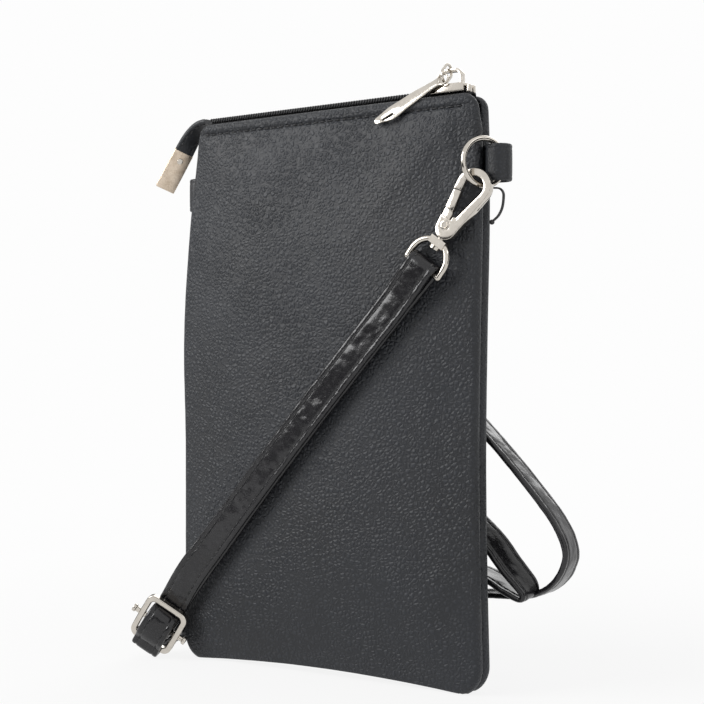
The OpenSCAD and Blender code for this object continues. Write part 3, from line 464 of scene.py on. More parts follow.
def band_frames(path):
    """Centre, width direction and up direction of each station of a band."""
    centre = path[:, :3]
    way = rows_at_unit(np.gradient(centre, axis=0))
    width = path[:, 3:]
    width = rows_at_unit(width - way * np.sum(width * way, axis=1)[:, None])
    return centre, width, np.cross(width, way)


def band_profile(w, t, groove_in, groove_t, crown):
    """Section of a folded leather band, with a stitching groove near both edges."""
    half = w / 2
    edge_r = min(t / 2, BAND_EDGE_R)
    groove = [(half - groove_in + d) / half for d in (-0.55, -0.28, 0, 0.28, 0.55)]
    top = []
    for share in [0, 0.3, 0.52, *groove, 1 - edge_r / half]:
        u = share * half
        top.append((u, t / 2 - crown * share**2 - groove_t * float(hump(u, half - groove_in, GROOVE_HALF))))
    last = top[-1][1]
    for a in np.radians([30, 60]):
        top.append((half - edge_r + edge_r * math.sin(a), last * math.cos(a)))
    right = top + [(half, 0.0)] + [(u, -v) for u, v in reversed(top)]
    left = [(-u, v) for u, v in reversed(right[1:-1])]
    return right + left


def crumple(along, u, seed):
    """Small dents of creased leather at a place along and across a band, in millimetres."""
    broad = noise.noise(Vector((along / 7, u / 6, seed)))
    fine = noise.noise(Vector((along / 2.3, u / 5, seed + 3)))
    return 0.2 * broad + 0.13 * fine


def band(path, profile, crumpled=0.0):
    """Skin of a band with the given section along a path of stations."""
    centre, width, up = band_frames(path)
    along = lengths_along(centre)
    rings = []
    for i in range(len(centre)):
        ring = []
        for u, v in profile:
            dent = crumpled * crumple(along[i], u, math.copysign(1, v)) if crumpled else 0.0
            ring.append(centre[i] + u * width[i] + (v + math.copysign(min(dent, MOST_BULGE), v)) * up[i])
        rings.append(np.array(ring))
    return sweep(rings)


def stitch(start, way, up):
    """One stitch: a short thread that rises out of its hole, lies along the seam and goes in again."""
    side = np.cross(way, up)
    rings = []
    for s, rise, size in STITCH_SECTIONS:
        centre = start + way * STITCH_L * s + up * STITCH_R * rise
        rings.append(centre + circle(STITCH_R * size, side, up, STITCH_SIDES))
    return sweep(rings)


def stitch_row(points, ups):
    """Stitches along a line of points, with the surface's direction at each."""
    along = lengths_along(points)

    def row_at(rows, at):
        return np.array([np.interp(at, along, rows[:, k]) for k in range(3)])

    parts = []
    for i in range(int(along[-1] // STITCH_PITCH)):
        at = (i + 0.5) * STITCH_PITCH
        start = row_at(points, at - STITCH_L / 2)
        way = unit(row_at(points, at + STITCH_L / 2) - start)
        up = row_at(ups, at)
        parts.append(stitch(start, way, unit(up - way * np.dot(up, way))))
    return parts


def edge_stitches(path, w, t, groove_in, groove_t):
    """Stitches along both edges of a band, on both of its faces."""
    centre, width, up = band_frames(path)
    out, lift = w / 2 - groove_in, t / 2 - groove_t - STITCH_R * STITCH_SUNK
    parts = []
    for face in (1, -1):
        for side in (1, -1):
            parts += stitch_row(centre + side * out * width + face * lift * up, face * up)
    return joined(parts)


# Finishes
def linear(code):
    """Linear colour of an sRGB hex value."""
    channels = [int(code[i : i + 2], 16) / 255 for i in (1, 3, 5)]
    return tuple(c / 12.92 if c <= 0.04045 else ((c + 0.055) / 1.055) ** 2.4 for c in channels) + (1.0,)


def feed(tree, node, inputs):
    """Gives a node's inputs their values, or the sockets that feed them."""
    for key, value in inputs.items():
        if isinstance(value, bpy.types.NodeSocket):
            tree.links.new(value, node.inputs[key])
        else:
            node.inputs[key].default_value = value


def add_node(tree, kind, settings, inputs):
    """A node with its settings, and its inputs as values or as the sockets that feed them."""
    node = tree.nodes.new(kind)
    for key, value in settings.items():
        setattr(node, key, value)
    feed(tree, node, inputs)
    return node


def per_mm(size):
    """Texture scale at which one cell is this many millimetres."""
    return 1 / (size * MM)


def add_noise(tree, place, size, detail, **inputs):
    """Noise whose cells are this many millimetres."""
    inputs = {"Vector": place, "Scale": per_mm(size), "Detail": detail, **inputs}
    return add_node(tree, "ShaderNodeTexNoise", {}, inputs).outputs


def add_wave(tree, place, way, size, distortion):
    """Bands this many millimetres wide."""
    settings = {"wave_type": "BANDS", "bands_direction": way}
    inputs = {"Vector": place, "Scale": per_mm(size) / 6, "Distortion": distortion}
    return add_node(tree, "ShaderNodeTexWave", settings, inputs).outputs["Fac"]


def add_math(tree, operation, *values):
    """One sum of values and sockets."""
    return add_node(tree, "ShaderNodeMath", {"operation": operation}, dict(enumerate(values))).outputs[0]


def add_range(tree, value, interpolation="LINEAR", **limits):
    """A value taken from one range to another."""
    settings = {"interpolation_type": interpolation}
    inputs = {"Value": value, **{key.replace("_", " "): limit for key, limit in limits.items()}}
    return add_node(tree, "ShaderNodeMapRange", settings, inputs).outputs["Result"]


def add_bump(tree, height, deep, strength, **inputs):
    """The surface's direction, once a height of this many millimetres stands out of it."""
    inputs = {"Height": height, "Distance": deep * MM, "Strength": strength, **inputs}
    return add_node(tree, "ShaderNodeBump", {}, inputs).outputs["Normal"]


def add_ramp(tree, source, low, dark, high, light):
    """A colour between two, from a value."""
    node = add_node(tree, "ShaderNodeValToRGB", {}, {"Fac": source})
    for element, at, colour in zip(node.color_ramp.elements, (low, high), (dark, light)):
        element.position = at
        element.color = linear(colour)
    return node.outputs["Color"]


def new_finish(name):
    """A plain material, with its tree and its shader."""
    material = bpy.data.materials.new(name)
    material.use_nodes = True
    tree = material.node_tree
    return material, tree, tree.nodes["Principled BSDF"]


# Sizes of the leather's crushed dents and of its patches, and how far roughness wanders in them
CRUSH_SIZE = 9
PATCH_SIZE = 38
WEAR = 0.05


def leather(tree, place, dark, light, grain, depth, rough, crush=0.0, sheen=0.0):
    """Pebbled leather: cells pressed into a coated hide, with painted shade in the creases between them."""
    warp = add_noise(tree, place, grain * 2.2, 2.0)["Color"]
    inputs = {"Factor": grain * MM * 0.5, 4: place, 5: warp}
    warped = add_node(tree, "ShaderNodeMix", {"data_type": "VECTOR"}, inputs).outputs[1]
    inputs = {"Vector": warped, "Scale": per_mm(grain), "Randomness": 0.95}
    cells = add_node(tree, "ShaderNodeTexVoronoi", {"feature": "DISTANCE_TO_EDGE"}, inputs)
    pebble = add_range(tree, cells.outputs["Distance"], "SMOOTHSTEP", From_Min=0.0, From_Max=0.42)
    # The hide takes the press unevenly, and its pores stay in it
    pressed = add_math(tree, "MULTIPLY", pebble, add_noise(tree, place, grain * 14, 1.0)["Fac"])
    pores = add_noise(tree, place, grain * 0.3, 2.0)["Fac"]
    normal = add_bump(tree, add_math(tree, "MULTIPLY_ADD", pores, 0.05, pressed), depth, 1.0)
    if crush:
        normal = add_bump(tree, add_noise(tree, place, CRUSH_SIZE, 2.0)["Fac"], crush, 1.0, Normal=normal)
    patches = add_noise(tree, place, PATCH_SIZE, 3.0)["Fac"]
    # Colour: painted shade darkens the creases between the pebbles, over broad patches where the hide's own
    # tone wanders at random
    tone = add_math(tree, "MULTIPLY_ADD", pebble, 0.6, patches)
    return {
        "Base Color": add_ramp(tree, tone, 0.25, dark, 1.0, light),
        "Roughness": add_range(tree, patches, To_Min=rough - WEAR, To_Max=rough + WEAR),
        "Normal": normal,
        "IOR": 1.5,
        "Sheen Weight": sheen,
        "Sheen Roughness": 0.4,
    }


def woven(tree, place, dark, light, thread):
    """Plain weave: threads that pass over and under each other."""
    both = add_math(tree, "MULTIPLY", *(add_wave(tree, place, way, thread, 0.6) for way in "XZ"))
    return {
        "Base Color": add_ramp(tree, both, 0.0, dark, 0.8, light),
        "Roughness": 0.85,
        "Normal": add_bump(tree, both, thread * 0.3, 0.6),
    }


def twisted(tree, place, dark, light, ply):
    """Twisted thread: plies that wind round it and shine a little."""
    wave = add_wave(tree, place, "DIAGONAL", ply, 0.4)
    return {
        "Base Color": add_ramp(tree, wave, 0.1, dark, 0.9, light),
        "Roughness": 0.45,
        "Normal": add_bump(tree, wave, 0.05, 0.6),
    }


def moulded(tree, place, dark, light, rough):
    """Moulded nylon: an even plastic with faint flow marks."""
    flow = add_noise(tree, place, 2.5, 3.0)["Fac"]
    return {
        "Base Color": add_ramp(tree, flow, 0.3, dark, 0.7, light),
        "Roughness": rough,
        "Normal": add_bump(tree, flow, 0.03, 0.4),
        "IOR": 1.53,
    }


def plated(tree, place, dark, light, rough, scuff):
    """Die-cast zinc with a plating: faint polishing marks and small scuffs."""
    scuffs = add_noise(tree, place, scuff, 6.0, Roughness=0.65)["Fac"]
    ripple = add_noise(tree, place, 2.2, 2.0)["Fac"]
    return {
        "Base Color": add_ramp(tree, ripple, 0.3, dark, 0.65, light),
        "Roughness": add_range(tree, scuffs, From_Min=0.35, From_Max=0.75, To_Min=rough, To_Max=rough * 2.2),
        "Normal": add_bump(tree, ripple, 0.04, 0.3),
        "Metallic": 1.0,
    }


FINISHES = {}


def finish(name):
    """A finish by name, made once from the colours that the panel shows."""
    if name not in FINISHES:
        look = bpy.context.scene.pouch_look
        # Each leather's first colour is painted shade in the creases between its pebbles, and its second is
        # its own tone
        hide = (look.panel_crease_shade, look.panel_light)
        strap = (look.strap_crease_shade, look.strap_light)
        metal = (look.metal_dark, look.metal_light)
        # Each has its maker, its two colours, and its sizes in millimetres with its roughness
        table = {
            # Coated split leather, embossed: an even satin pebble
            "panel_leather": (leather, hide, {"grain": 1.5, "depth": 0.42, "rough": 0.54, "sheen": 0.03}),
            # Coated leather of the strap: nearly smooth, crushed by folding, with a lacquered shine
            "strap_leather": (leather, strap, {"grain": 1.2, "depth": 0.03, "rough": 0.22, "crush": 1.1}),
            # The panels' hide, thinner and pressed smoother, in the tabs and the zip's tail
            "tab_leather": (leather, hide, {"grain": 1.2, "depth": 0.1, "rough": 0.5, "crush": 0.4}),
            # Polyester lining, plain weave
            "lining_weave": (woven, ("#1e1f22", "#34353a"), {"thread": 0.5}),
            # Knitted polyester zip tape, drawn a little coarse so that its ribs show
            "zip_tape_weave": (woven, ("#0d0d0f", "#232327"), {"thread": 0.6}),
            # Nylon monofilament of the zip's coil
            "coil_nylon": (moulded, ("#0e0e10", "#18181b"), {"rough": 0.45}),
            # Bonded polyester sewing thread
            "sewing_thread": (twisted, ("#08080a", "#1a1a1d"), {"ply": 0.35}),
            # Waxed cotton string of the tag
            "tag_string": (twisted, ("#0f0f10", "#262628"), {"ply": 0.4}),
            # Small moulded catch of the tag string
            "catch_plastic": (moulded, ("#141416", "#202023"), {"rough": 0.42}),
            # Bright nickel plating, slightly warm
            "pale_nickel": (plated, metal, {"rough": 0.08, "scuff": 0.9}),
            # Stamped plate with a satin champagne plating
            "satin_champagne": (plated, ("#c9b8a4", "#decebb"), {"rough": 0.26, "scuff": 0.5}),
        }
        maker, colours, sizes = table[name]
        FINISHES[name], tree, shader = new_finish(name)
        place = add_node(tree, "ShaderNodeTexCoord", {}, {}).outputs["Object"]
        feed(tree, shader, maker(tree, place, *colours, **sizes))
    return FINISHES[name]


class PouchLook(bpy.types.PropertyGroup):
    """Colours and sizes that change the pouch's look."""

    # The crease colours are painted shade between the pebbles; the top colours are the leathers' own tone
    panel_crease_shade: StringProperty(name="Panel crease", description="Colour between pebbles", default="#0f1115")
    panel_light: StringProperty(name="Panel top", description="Colour on the pebbles", default="#22252b")
    strap_crease_shade: StringProperty(name="Strap crease", description="Colour of its creases", default="#131315")
    strap_light: StringProperty(name="Strap top", description="Colour of its surface", default="#232225")
    metal_dark: StringProperty(name="Metal shade", description="Dark tone of the plating", default="#c2bcb3")
    metal_light: StringProperty(name="Metal", description="Main tone of the plating", default="#cdc7be")
    crease_share: FloatProperty(
        name="Creases",
        description="Depth of the leather's creases",
        default=1.0,
        min=0.0,
        max=2.0,
        subtype="FACTOR",
    )
    easing: FloatProperty(
        name="Eased edges",
        description="Width of the rounding on the metal's edges",
        default=0.22 * MM,
        min=0.0,
        unit="LENGTH",
    )


# Camera and stage
CAMERA_AZIMUTH = math.radians(32.4)
CAMERA_RISE = math.radians(0.35)
CAMERA_AWAY = 0.52
CAMERA_AIM_Z = 0.1113
FOCAL_PX = 1500.0
PHOTO_PX = 704.0
LEFT_SHIFT_PX = 25.0
SENSOR = 36.0
# Height that the lamps and boards face
LIT_Z = 0.1
# Each lamp's place to the right, towards the camera and up, its width in metres and its power in watts
LAMPS = (
    ("key_softbox", (-0.62, 0.16, 0.4), 0.4, 3.8),
    ("fill_softbox", (0.95, 0.55, 0.45), 0.7, 2.4),
    ("back_softbox", (0.3, -0.9, 0.7), 0.9, 5.0),
)
# Black boards, which only reflections see, give the plating its dark edges: place, half width and height
BOARDS = (
    ("board_right", (0.62, 0.3, 0.12), 0.2, 0.3),
    ("board_behind", (0.0, -0.7, 0.1), 0.5, 0.22),
    ("board_left", (-0.42, 0.42, 0.0), 0.4, 0.17),
    ("board_side", (-0.6, -0.15, 0.15), 0.16, 0.3),
)
FLOOR_HALF = 3.0
FLOOR_WHITE = "#f4f4f3"
BACKDROP_WHITE = "#fdfdfd"
BOARD_BLACK = "#0c0c0c"
PAPER_ROUGH = 0.9
ROOM_STRENGTH = 0.3


def added(name, data, place=(0, 0, 0), facing=None):
    """An object at a place, turned to what it faces."""
    thing = bpy.data.objects.new(name, data)
    bpy.context.scene.collection.objects.link(thing)
    thing.location = place
    if facing is not None:
        thing.rotation_euler = (facing - thing.location).to_track_quat("-Z", "Y").to_euler()
    return thing


def paper(name, half_w, half_h, colour):
    """A flat rectangle of matt paper, with its material's tree and shader."""
    mesh = bpy.data.meshes.new(name)
    corners = [(-half_w, -half_h, 0), (half_w, -half_h, 0), (half_w, half_h, 0), (-half_w, half_h, 0)]
    mesh.from_pydata(corners, [], [(0, 1, 2, 3)])
    material, tree, shader = new_finish(name)
    feed(tree, shader, {"Base Color": linear(colour), "Roughness": PAPER_ROUGH})
    mesh.materials.append(material)
    return mesh, tree, shader


class POUCH_OT_stage(bpy.types.Operator):
    """Camera, lights, floor and background"""

    bl_idname = "pouch.stage"
    bl_label = "Stage"

    def execute(self, context):
        across, rise = CAMERA_AZIMUTH, CAMERA_RISE
        near = Vector((math.sin(across) * math.cos(rise), -math.cos(across) * math.cos(rise), math.sin(rise)))
        right = near.cross(Vector((0, 0, -1))).normalized()
        data = bpy.data.cameras.new("photo_camera")
        data.sensor_width = SENSOR
        data.lens = SENSOR * FOCAL_PX / PHOTO_PX
        data.shift_x = LEFT_SHIFT_PX / PHOTO_PX
        data.clip_start = 0.01
        aim = Vector((0, 0, CAMERA_AIM_Z))
        context.scene.camera = added("photo_camera", data, aim + CAMERA_AWAY * near, aim)
        lit = Vector((0, 0, LIT_Z))
        for name, place, size, power in LAMPS:
            light = bpy.data.lights.new(name, "AREA")
            light.shape = "SQUARE"
            light.size = size
            light.energy = power
            added(name, light, place[0] * right + place[1] * near + Vector((0, 0, place[2])), lit)
        for name, place, half_w, half_h in BOARDS:
            mesh, _, _ = paper(name, half_w, half_h, BOARD_BLACK)
            board = added(name, mesh, place[0] * right + place[1] * near + Vector((0, 0, place[2])), lit)
            for ray in ("camera", "diffuse", "shadow", "transmission"):
                setattr(board, f"visible_{ray}", False)
        self.floor()
        self.world(context)
        context.scene.view_settings.view_transform = "Standard"
        return {"FINISHED"}

    def floor(self):
        mesh, tree, shader = paper("floor", FLOOR_HALF, FLOOR_HALF, FLOOR_WHITE)
        glow = add_node(tree, "ShaderNodeEmission", {}, {"Color": linear(BACKDROP_WHITE), "Strength": 1.0})
        path = add_node(tree, "ShaderNodeLightPath", {}, {}).outputs
        seen = add_math(tree, "MAXIMUM", path["Is Camera Ray"], path["Is Glossy Ray"])
        place = add_node(tree, "ShaderNodeTexCoord", {}, {}).outputs["Object"]
        away = add_node(tree, "ShaderNodeVectorMath", {"operation": "LENGTH"}, {0: place}).outputs["Value"]
        # The paper keeps the shadow near the pouch, and runs out to the backdrop's own white
        fade = add_range(tree, away, "SMOOTHSTEP", From_Min=0.08, From_Max=0.34, To_Min=0.88, To_Max=1.0)
        inputs = {0: add_math(tree, "MULTIPLY", seen, fade), 1: shader.outputs[0], 2: glow.outputs[0]}
        mix = add_node(tree, "ShaderNodeMixShader", {}, inputs)
        feed(tree, tree.nodes["Material Output"], {"Surface": mix.outputs[0]})
        added("floor", mesh)

    def world(self, context):
        world = bpy.data.worlds.new("white_room")
        context.scene.world = world
        world.use_nodes = True
        tree = world.node_tree
        tree.nodes.clear()
        path = add_node(tree, "ShaderNodeLightPath", {}, {}).outputs
        seen = add_math(tree, "MAXIMUM", path["Is Camera Ray"], path["Is Transmission Ray"])
        seen = add_math(tree, "MAXIMUM", seen, path["Is Glossy Ray"])
        inputs = {0: seen}
        for slot, colour, strength in ((1, "#ffffff", ROOM_STRENGTH), (2, BACKDROP_WHITE, 1.0)):
            light = {"Color": linear(colour), "Strength": strength}
            inputs[slot] = add_node(tree, "ShaderNodeBackground", {}, light).outputs[0]
        mix = add_node(tree, "ShaderNodeMixShader", {}, inputs)
        add_node(tree, "ShaderNodeOutputWorld", {}, {"Surface": mix.outputs[0]})


# Tag string, as in the construction
TAG_ROUTE = [
    [62, 0, 166.2], [62.8, 0, 164.8], [65.8, 0.2, 164.4], [67.1, 0.4, 163],
    [67.1, 0.6, 160.8], [66.6, 0.6, 158], [65.4, 0.4, 155.6], [64, 0, 154.2],
]
TAG_R = 0.3
TAG_STRAND = 0.34
TAG_STEPS = 4


class POUCH_OT_tag(bpy.types.Operator):
    """String of the tag, with its catch"""

    bl_idname = "pouch.tag"
    bl_label = "Tag string"

    def execute(self, context):
        strand = smooth_path(TAG_ROUTE, TAG_STEPS)
        beside = np.array([0.0, TAG_STRAND, 0.0])
        route = np.vstack([strand - beside, strand[::-1] + beside])
        curve = bpy.data.curves.new("tag_string", "CURVE")
        curve.dimensions = "3D"
        curve.bevel_depth = TAG_R * MM
        curve.bevel_resolution = 3
        curve.use_fill_caps = True
        spline = curve.splines.new("POLY")
        spline.points.add(len(route) - 1)
        for point, place in zip(spline.points, route):
            point.co = (*(place * MM), 1)
        curve.materials.append(finish("tag_string"))
        string = added("tag_string", curve)
        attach(string, "pouch")
        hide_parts("tag_loop")
        set_finish("tag_catch", "catch_plastic")
        return {"FINISHED"}


def set_finish(node, name):
    """Gives a node of the frame its finish."""
    mesh = frame["nodes"][node].data
    mesh.materials.clear()
    mesh.materials.append(finish(name))


# Panels and linings
LOBE_STEPS = 14
# Where the mouth's stitches start and end, from the pouch's sides
SEAM_FROM_LEFT = 3.5
SEAM_FROM_RIGHT = 4.5
SEAM_STEPS = 90
# Rings lie close together near the mouth and its stitches, and further apart towards the middle
CROWN_SHARES = np.concatenate([np.linspace(0.3, 7.2, 24), np.linspace(9, HALF_W, 27)]) / HALF_W


def panel_skin(height, inset, thickness, side, seed=0, depth=0):
    """Points and faces of a panel, with its outside, its inside and its creases."""
    edge = panel_edge(height)
    outer = panel_rings(edge, inset, LOBE_STEPS, CROWN_SHARES)
    inner = panel_rings(edge, inset + thickness, LOBE_STEPS // 2, CROWN_SHARES[1::3])
    if depth:
        for k, ring in enumerate(outer):
            share = eased((k - LOBE_STEPS / 2) / (LOBE_STEPS / 2 + 3))
            ring[:, 1] -= depth * share * creases(ring[:, 0], ring[:, 2], seed)
    rings = inner[::-1] + outer
    return np.vstack(rings) * [1, -side, 1], ring_faces(len(rings), len(edge))


class POUCH_OT_panels(bpy.types.Operator):
    """Front and back panel, turned at the sides and folded at the mouth"""

    bl_idname = "pouch.panels"
    bl_label = "Panels"

    def execute(self, context):
        depth = context.scene.pouch_look.crease_share
        for name, side, seed in (("front", LEFT, 3.0), ("back", RIGHT, 11.0)):
            skin = panel_skin(POUCH_H, 0, LEATHER_T, side, seed, depth)
            nodes = [f"{name}_panel"]
            make_piece(f"{name}_leather", skin, "panel_leather", "pouch", nodes)
            self.top_stitches(name, side, seed, depth)
        return {"FINISHED"}

    def top_stitches(self, name, side, seed, depth):
        x = np.linspace(-(HALF_W - DRAW_LEFT - SEAM_FROM_LEFT), HALF_W - SEAM_FROM_RIGHT, SEAM_STEPS)
        level = np.full_like(x, POUCH_H - STITCH_DOWN)
        z = sagged(x, level)
        y = -fold_depth(level) - depth * creases(x, z, seed) - STITCH_R * STITCH_SUNK
        points = np.stack([x, -side * y, z], -1)
        skin = joined(stitch_row(points, np.tile([0.0, side, 0.0], (len(x), 1))))
        make_piece(f"{name}_top_stitches", skin, "sewing_thread", "pouch")


def fold_depth(z):
    """Depth of a panel's outside near the mouth."""
    top, spine_z = POUCH_H - FOLD_R, POUCH_H - HALF_W
    return blended(edge_depth(top), spine_depth(spine_z), swell((top - z) / (top - spine_z)))


class POUCH_OT_linings(bpy.types.Operator):
    """Lining of both panels"""

    bl_idname = "pouch.linings"
    bl_label = "Linings"

    def execute(self, context):
        for name, side in (("front", LEFT), ("back", RIGHT)):
            skin = panel_skin(POUCH_H - LINING_DROP, LEATHER_T + LINING_GAP, LINING_T, side)
            make_piece(f"{name}_lining_cloth", skin, "lining_weave", "pouch", [f"{name}_lining"])
        return {"FINISHED"}


# Zip
class POUCH_OT_zip(bpy.types.Operator):
    """Zip tape, coils, stops, slider, link and pull"""

    bl_idname = "pouch.zip"
    bl_label = "Zip"

    def execute(self, context):
        for name, side in (("front", LEFT), ("back", RIGHT)):
            self.tape(name, side)
            self.coil(name, side)
            eased_copy(f"zip_stop_{name}", "pale_nickel", "pouch")
        eased_copy("zip_slider", "pale_nickel", "slider")
        set_finish("zip_link", "pale_nickel")
        eased_copy("zip_pull", "pale_nickel", "pull")
        return {"FINISHED"}

    def tape(self, name, side):
        inner = TAPE_OUT - TAPE_T
        low = POUCH_H - TAPE_FOOT
        knee = POUCH_H - TAPE_BEND
        under = TAPE_Z - TAPE_T
        profile = [
            (TAPE_OUT, low), (inner, low), (inner, knee), (inner - TAPE_BEND * 0.4, under - 0.1),
            (inner - TAPE_BEND, under), (COIL_SLIT / 2, under), (COIL_SLIT / 2, TAPE_Z),
            (TAPE_OUT - TAPE_BEND, TAPE_Z), (TAPE_OUT - TAPE_BEND * 0.3, TAPE_Z - 0.15), (TAPE_OUT, knee),
        ]
        places = np.linspace(ZIP_LEFT, ZIP_RIGHT, TAPE_STEPS)
        points, faces = sweep([np.array([(x, side * y, z) for y, z in profile]) for x in places])
        skin = (on_mouth(points), faces)
        make_piece(f"{name}_tape", skin, "zip_tape_weave", "pouch", [f"zip_tape_{name}"], 40)

    def coil(self, name, side):
        run = ZIP_RIGHT - ZIP_LEFT - STOP_L
        turns = int(run // COIL_PITCH)
        angle = np.arange(turns * COIL_TURN_STEPS + 1) * 2 * math.pi / COIL_TURN_STEPS
        # The back coil starts half a turn on, so that its turns lie between the front one's
        phase = angle + (math.pi if side == RIGHT else 0)
        x = ZIP_LEFT + COIL_WIRE_R + (run - 2 * COIL_WIRE_R) * angle / angle[-1]
        y = side * ((COIL_SLIT + COIL_W) / 2 + (COIL_W / 2 - COIL_WIRE_R) * np.cos(phase))
        z = TAPE_Z + COIL_H / 2 + (COIL_H / 2 - COIL_WIRE_R) * np.sin(phase)
        points, faces = tube(np.stack([x, y, z], -1), COIL_WIRE_R, COIL_WIRE_SIDES)
        skin = (on_mouth(points), faces)
        make_piece(f"{name}_coil", skin, "coil_nylon", "pouch", [f"zip_coil_{name}"])


def tube(route, r, sides):
    """Round tube along a route."""
    way = rows_at_unit(np.gradient(route, axis=0))
    side = rows_at_unit(np.cross(way, [1.0, 0.02, 0.03]))
    up = np.cross(way, side)
    return sweep([route[i] + circle(r, side[i], up[i], sides) for i in range(len(route))])


# Faces that meet at less than the first angle become one, and edges over the second are eased
FLAT_ANGLE = math.radians(0.4)
EDGE_ANGLE = math.radians(38)


def eased_copy(node, finish_name, body, share=1.0):
    """A node of the frame with rounded edges, in its own place."""
    mesh = frame["nodes"][node].data.copy()
    bm = bmesh.new()
    bm.from_mesh(mesh)
    bmesh.ops.remove_doubles(bm, verts=bm.verts, dist=2e-7)
    bmesh.ops.dissolve_limit(bm, angle_limit=FLAT_ANGLE, verts=bm.verts, edges=bm.edges)
    sharp = [e for e in bm.edges if len(e.link_faces) == 2 and e.calc_face_angle() > EDGE_ANGLE]
    bmesh.ops.bevel(
        bm,
        geom=sharp,
        offset=bpy.context.scene.pouch_look.easing * share,
        segments=3,
        profile=0.5,
        affect="EDGES",
        clamp_overlap=False,
    )
    bmesh.ops.remove_doubles(bm, verts=bm.verts, dist=1e-6)
    bmesh.ops.triangulate(bm, faces=[f for f in bm.faces if len(f.verts) > 4])
    bmesh.ops.recalc_face_normals(bm, faces=bm.faces)
    bm.to_mesh(mesh)
    bm.free()
    place_piece(f"{node}_eased", mesh, finish_name, body, [node], 34)


# Wrapped tail of the zip
def tail_stations():
    """Stations of the tail's leather, along its middle."""
    spot = np.array([ZIP_LEFT - PART_GAP - TAIL_T / 2, COIL_TOP_Z - TAIL_T / 2])
    last = len(TAIL_TURNS) - 1
    rows = []
    for i, turn in enumerate(TAIL_TURNS):
        a = math.radians(turn)
        if i:
            spot = spot - TAIL_L / last * np.array([math.cos(a), math.sin(a)])
        b = TAIL_TWIST * i / last
        place = np.array([spot[0], 0.0, spot[1]])
        side = np.array([math.sin(b) * math.sin(a), math.cos(b), -math.sin(b) * math.cos(a)])
        rows.append(station(on_mouth(place), on_mouth(place + side) - on_mouth(place)))
    return smooth_path(rows, TAIL_STEPS)


class POUCH_OT_tail(bpy.types.Operator):
    """Leather wrap and metal plate at the zip's left end"""

    bl_idname = "pouch.tail"
    bl_label = "Zip tail"

    def execute(self, context):
        path = tail_stations()
        skin = band(path, band_profile(*TAIL_SECTION, TAIL_CROWN))
        make_piece("tail_wrap", skin, "tab_leather", "tail", ["zip_tail"], 50)
        skin = edge_stitches(path, *TAIL_SECTION)
        make_piece("tail_stitches", skin, "sewing_thread", "tail")
        eased_copy("zip_end_plate", "satin_champagne", "tail")
        eased_copy("zip_end_stud", "pale_nickel", "tail", share=0.6)
        return {"FINISHED"}


# Tabs
def side_x(side, z):
    """Place of the pouch's side edge at a height."""
    return float(drawn(np.array(side * HALF_W), np.array(z)))


def tab_stations(side):
    """Stations of a tab, from the seam to its loop, round the ring and back to the neck."""
    ring_reach = RING_R - math.sqrt((RING_R - RING_WIRE / 2) ** 2 - (TAB_W / 2) ** 2)
    loop_r = (ring_reach + RING_WIRE / 2) / 2 + TAB_RING_GAP + TAB_T / 2
    centre = joint_place("ring_turn_right" if side == RIGHT else "ring_turn_left")[:2]
    z = TAB_Z[side]
    way = side * np.array([math.cos(TAB_BEND[side]), -math.sin(TAB_BEND[side])])
    edge = side * max(side * side_x(side, z + end * TAB_W / 2) for end in (-1, 1))
    root = np.array([edge - side * TAB_ROOT_IN, 0.0])
    knee = np.array([side_x(side, z) + side * TAB_KNEE_OUT, 0.0])
    neck = centre - way * (loop_r + TAB_T * 0.25)
    rows = []
    for s in np.linspace(0, 1, TAB_NECK_STEPS):
        rows.append((1 - s) ** 2 * root + 2 * s * (1 - s) * knee + s**2 * neck)
    start = math.atan2(-way[1], -way[0])
    for k in range(2, TAB_TURN_STEPS - 1):
        a = start + side * 2 * math.pi * k / TAB_TURN_STEPS
        rows.append(centre + loop_r * np.array([math.cos(a), math.sin(a)]))
    return np.array([station([x, y, z], [0.0, 0.0, 1.0]) for x, y in rows])


class POUCH_OT_tabs(bpy.types.Operator):
    """Leather tabs that hold the rings at both sides"""

    bl_idname = "pouch.tabs"
    bl_label = "Tabs"

    def execute(self, context):
        profile = band_profile(*TAB_SECTION, TAB_CROWN)
        for name, side in (("right", RIGHT), ("left", LEFT)):
            centre, width, up = band_frames(smooth_path(tab_stations(side), TAB_STEPS))
            rings = []
            for i in range(len(centre)):
                thin = blended(TAB_THIN_SHARE, 1.0, float(eased(i / (TAB_NECK_STEPS - 1))))
                rings.append(np.array([centre[i] + u * width[i] + thin * v * up[i] for u, v in profile]))
            skin, nodes = sweep(rings), [f"tab_{name}"]
            make_piece(f"{name}_tab_leather", skin, "tab_leather", "pouch", nodes, 50)
        return {"FINISHED"}


# Rings and hooks
class POUCH_OT_hardware(bpy.types.Operator):
    """Rings, snap hooks, eyes and the adjuster"""

    bl_idname = "pouch.hardware"
    bl_label = "Rings and hooks"

    def execute(self, context):
        for side in ("right", "left"):
            for node in ("ring", "gate_spring", "swivel_eye", "swivel_post"):
                set_finish(f"{node}_{side}", "pale_nickel")
            rivet(side)
            eased_copy(f"hook_body_{side}", "pale_nickel", f"hook_{side}", share=0.9)
            eased_copy(f"hook_gate_{side}", "pale_nickel", f"gate_{side}")
        eased_copy("adjuster_frame", "pale_nickel", "adjuster", share=1.6)
        eased_copy("adjuster_bar", "pale_nickel", "pouch")
        return {"FINISHED"}


# Half of a rivet's outline: radius as a share of the largest, and depth below the end of the head
RIVET_HEAD = (
    (0.01, 0.0), (0.3, 0.0), (0.42, 0.14), (0.56, 0.14), (0.66, 0.0), (0.84, 0.03), (0.96, 0.14), (1.0, 0.3),
)
RIVET_SIDES = 32


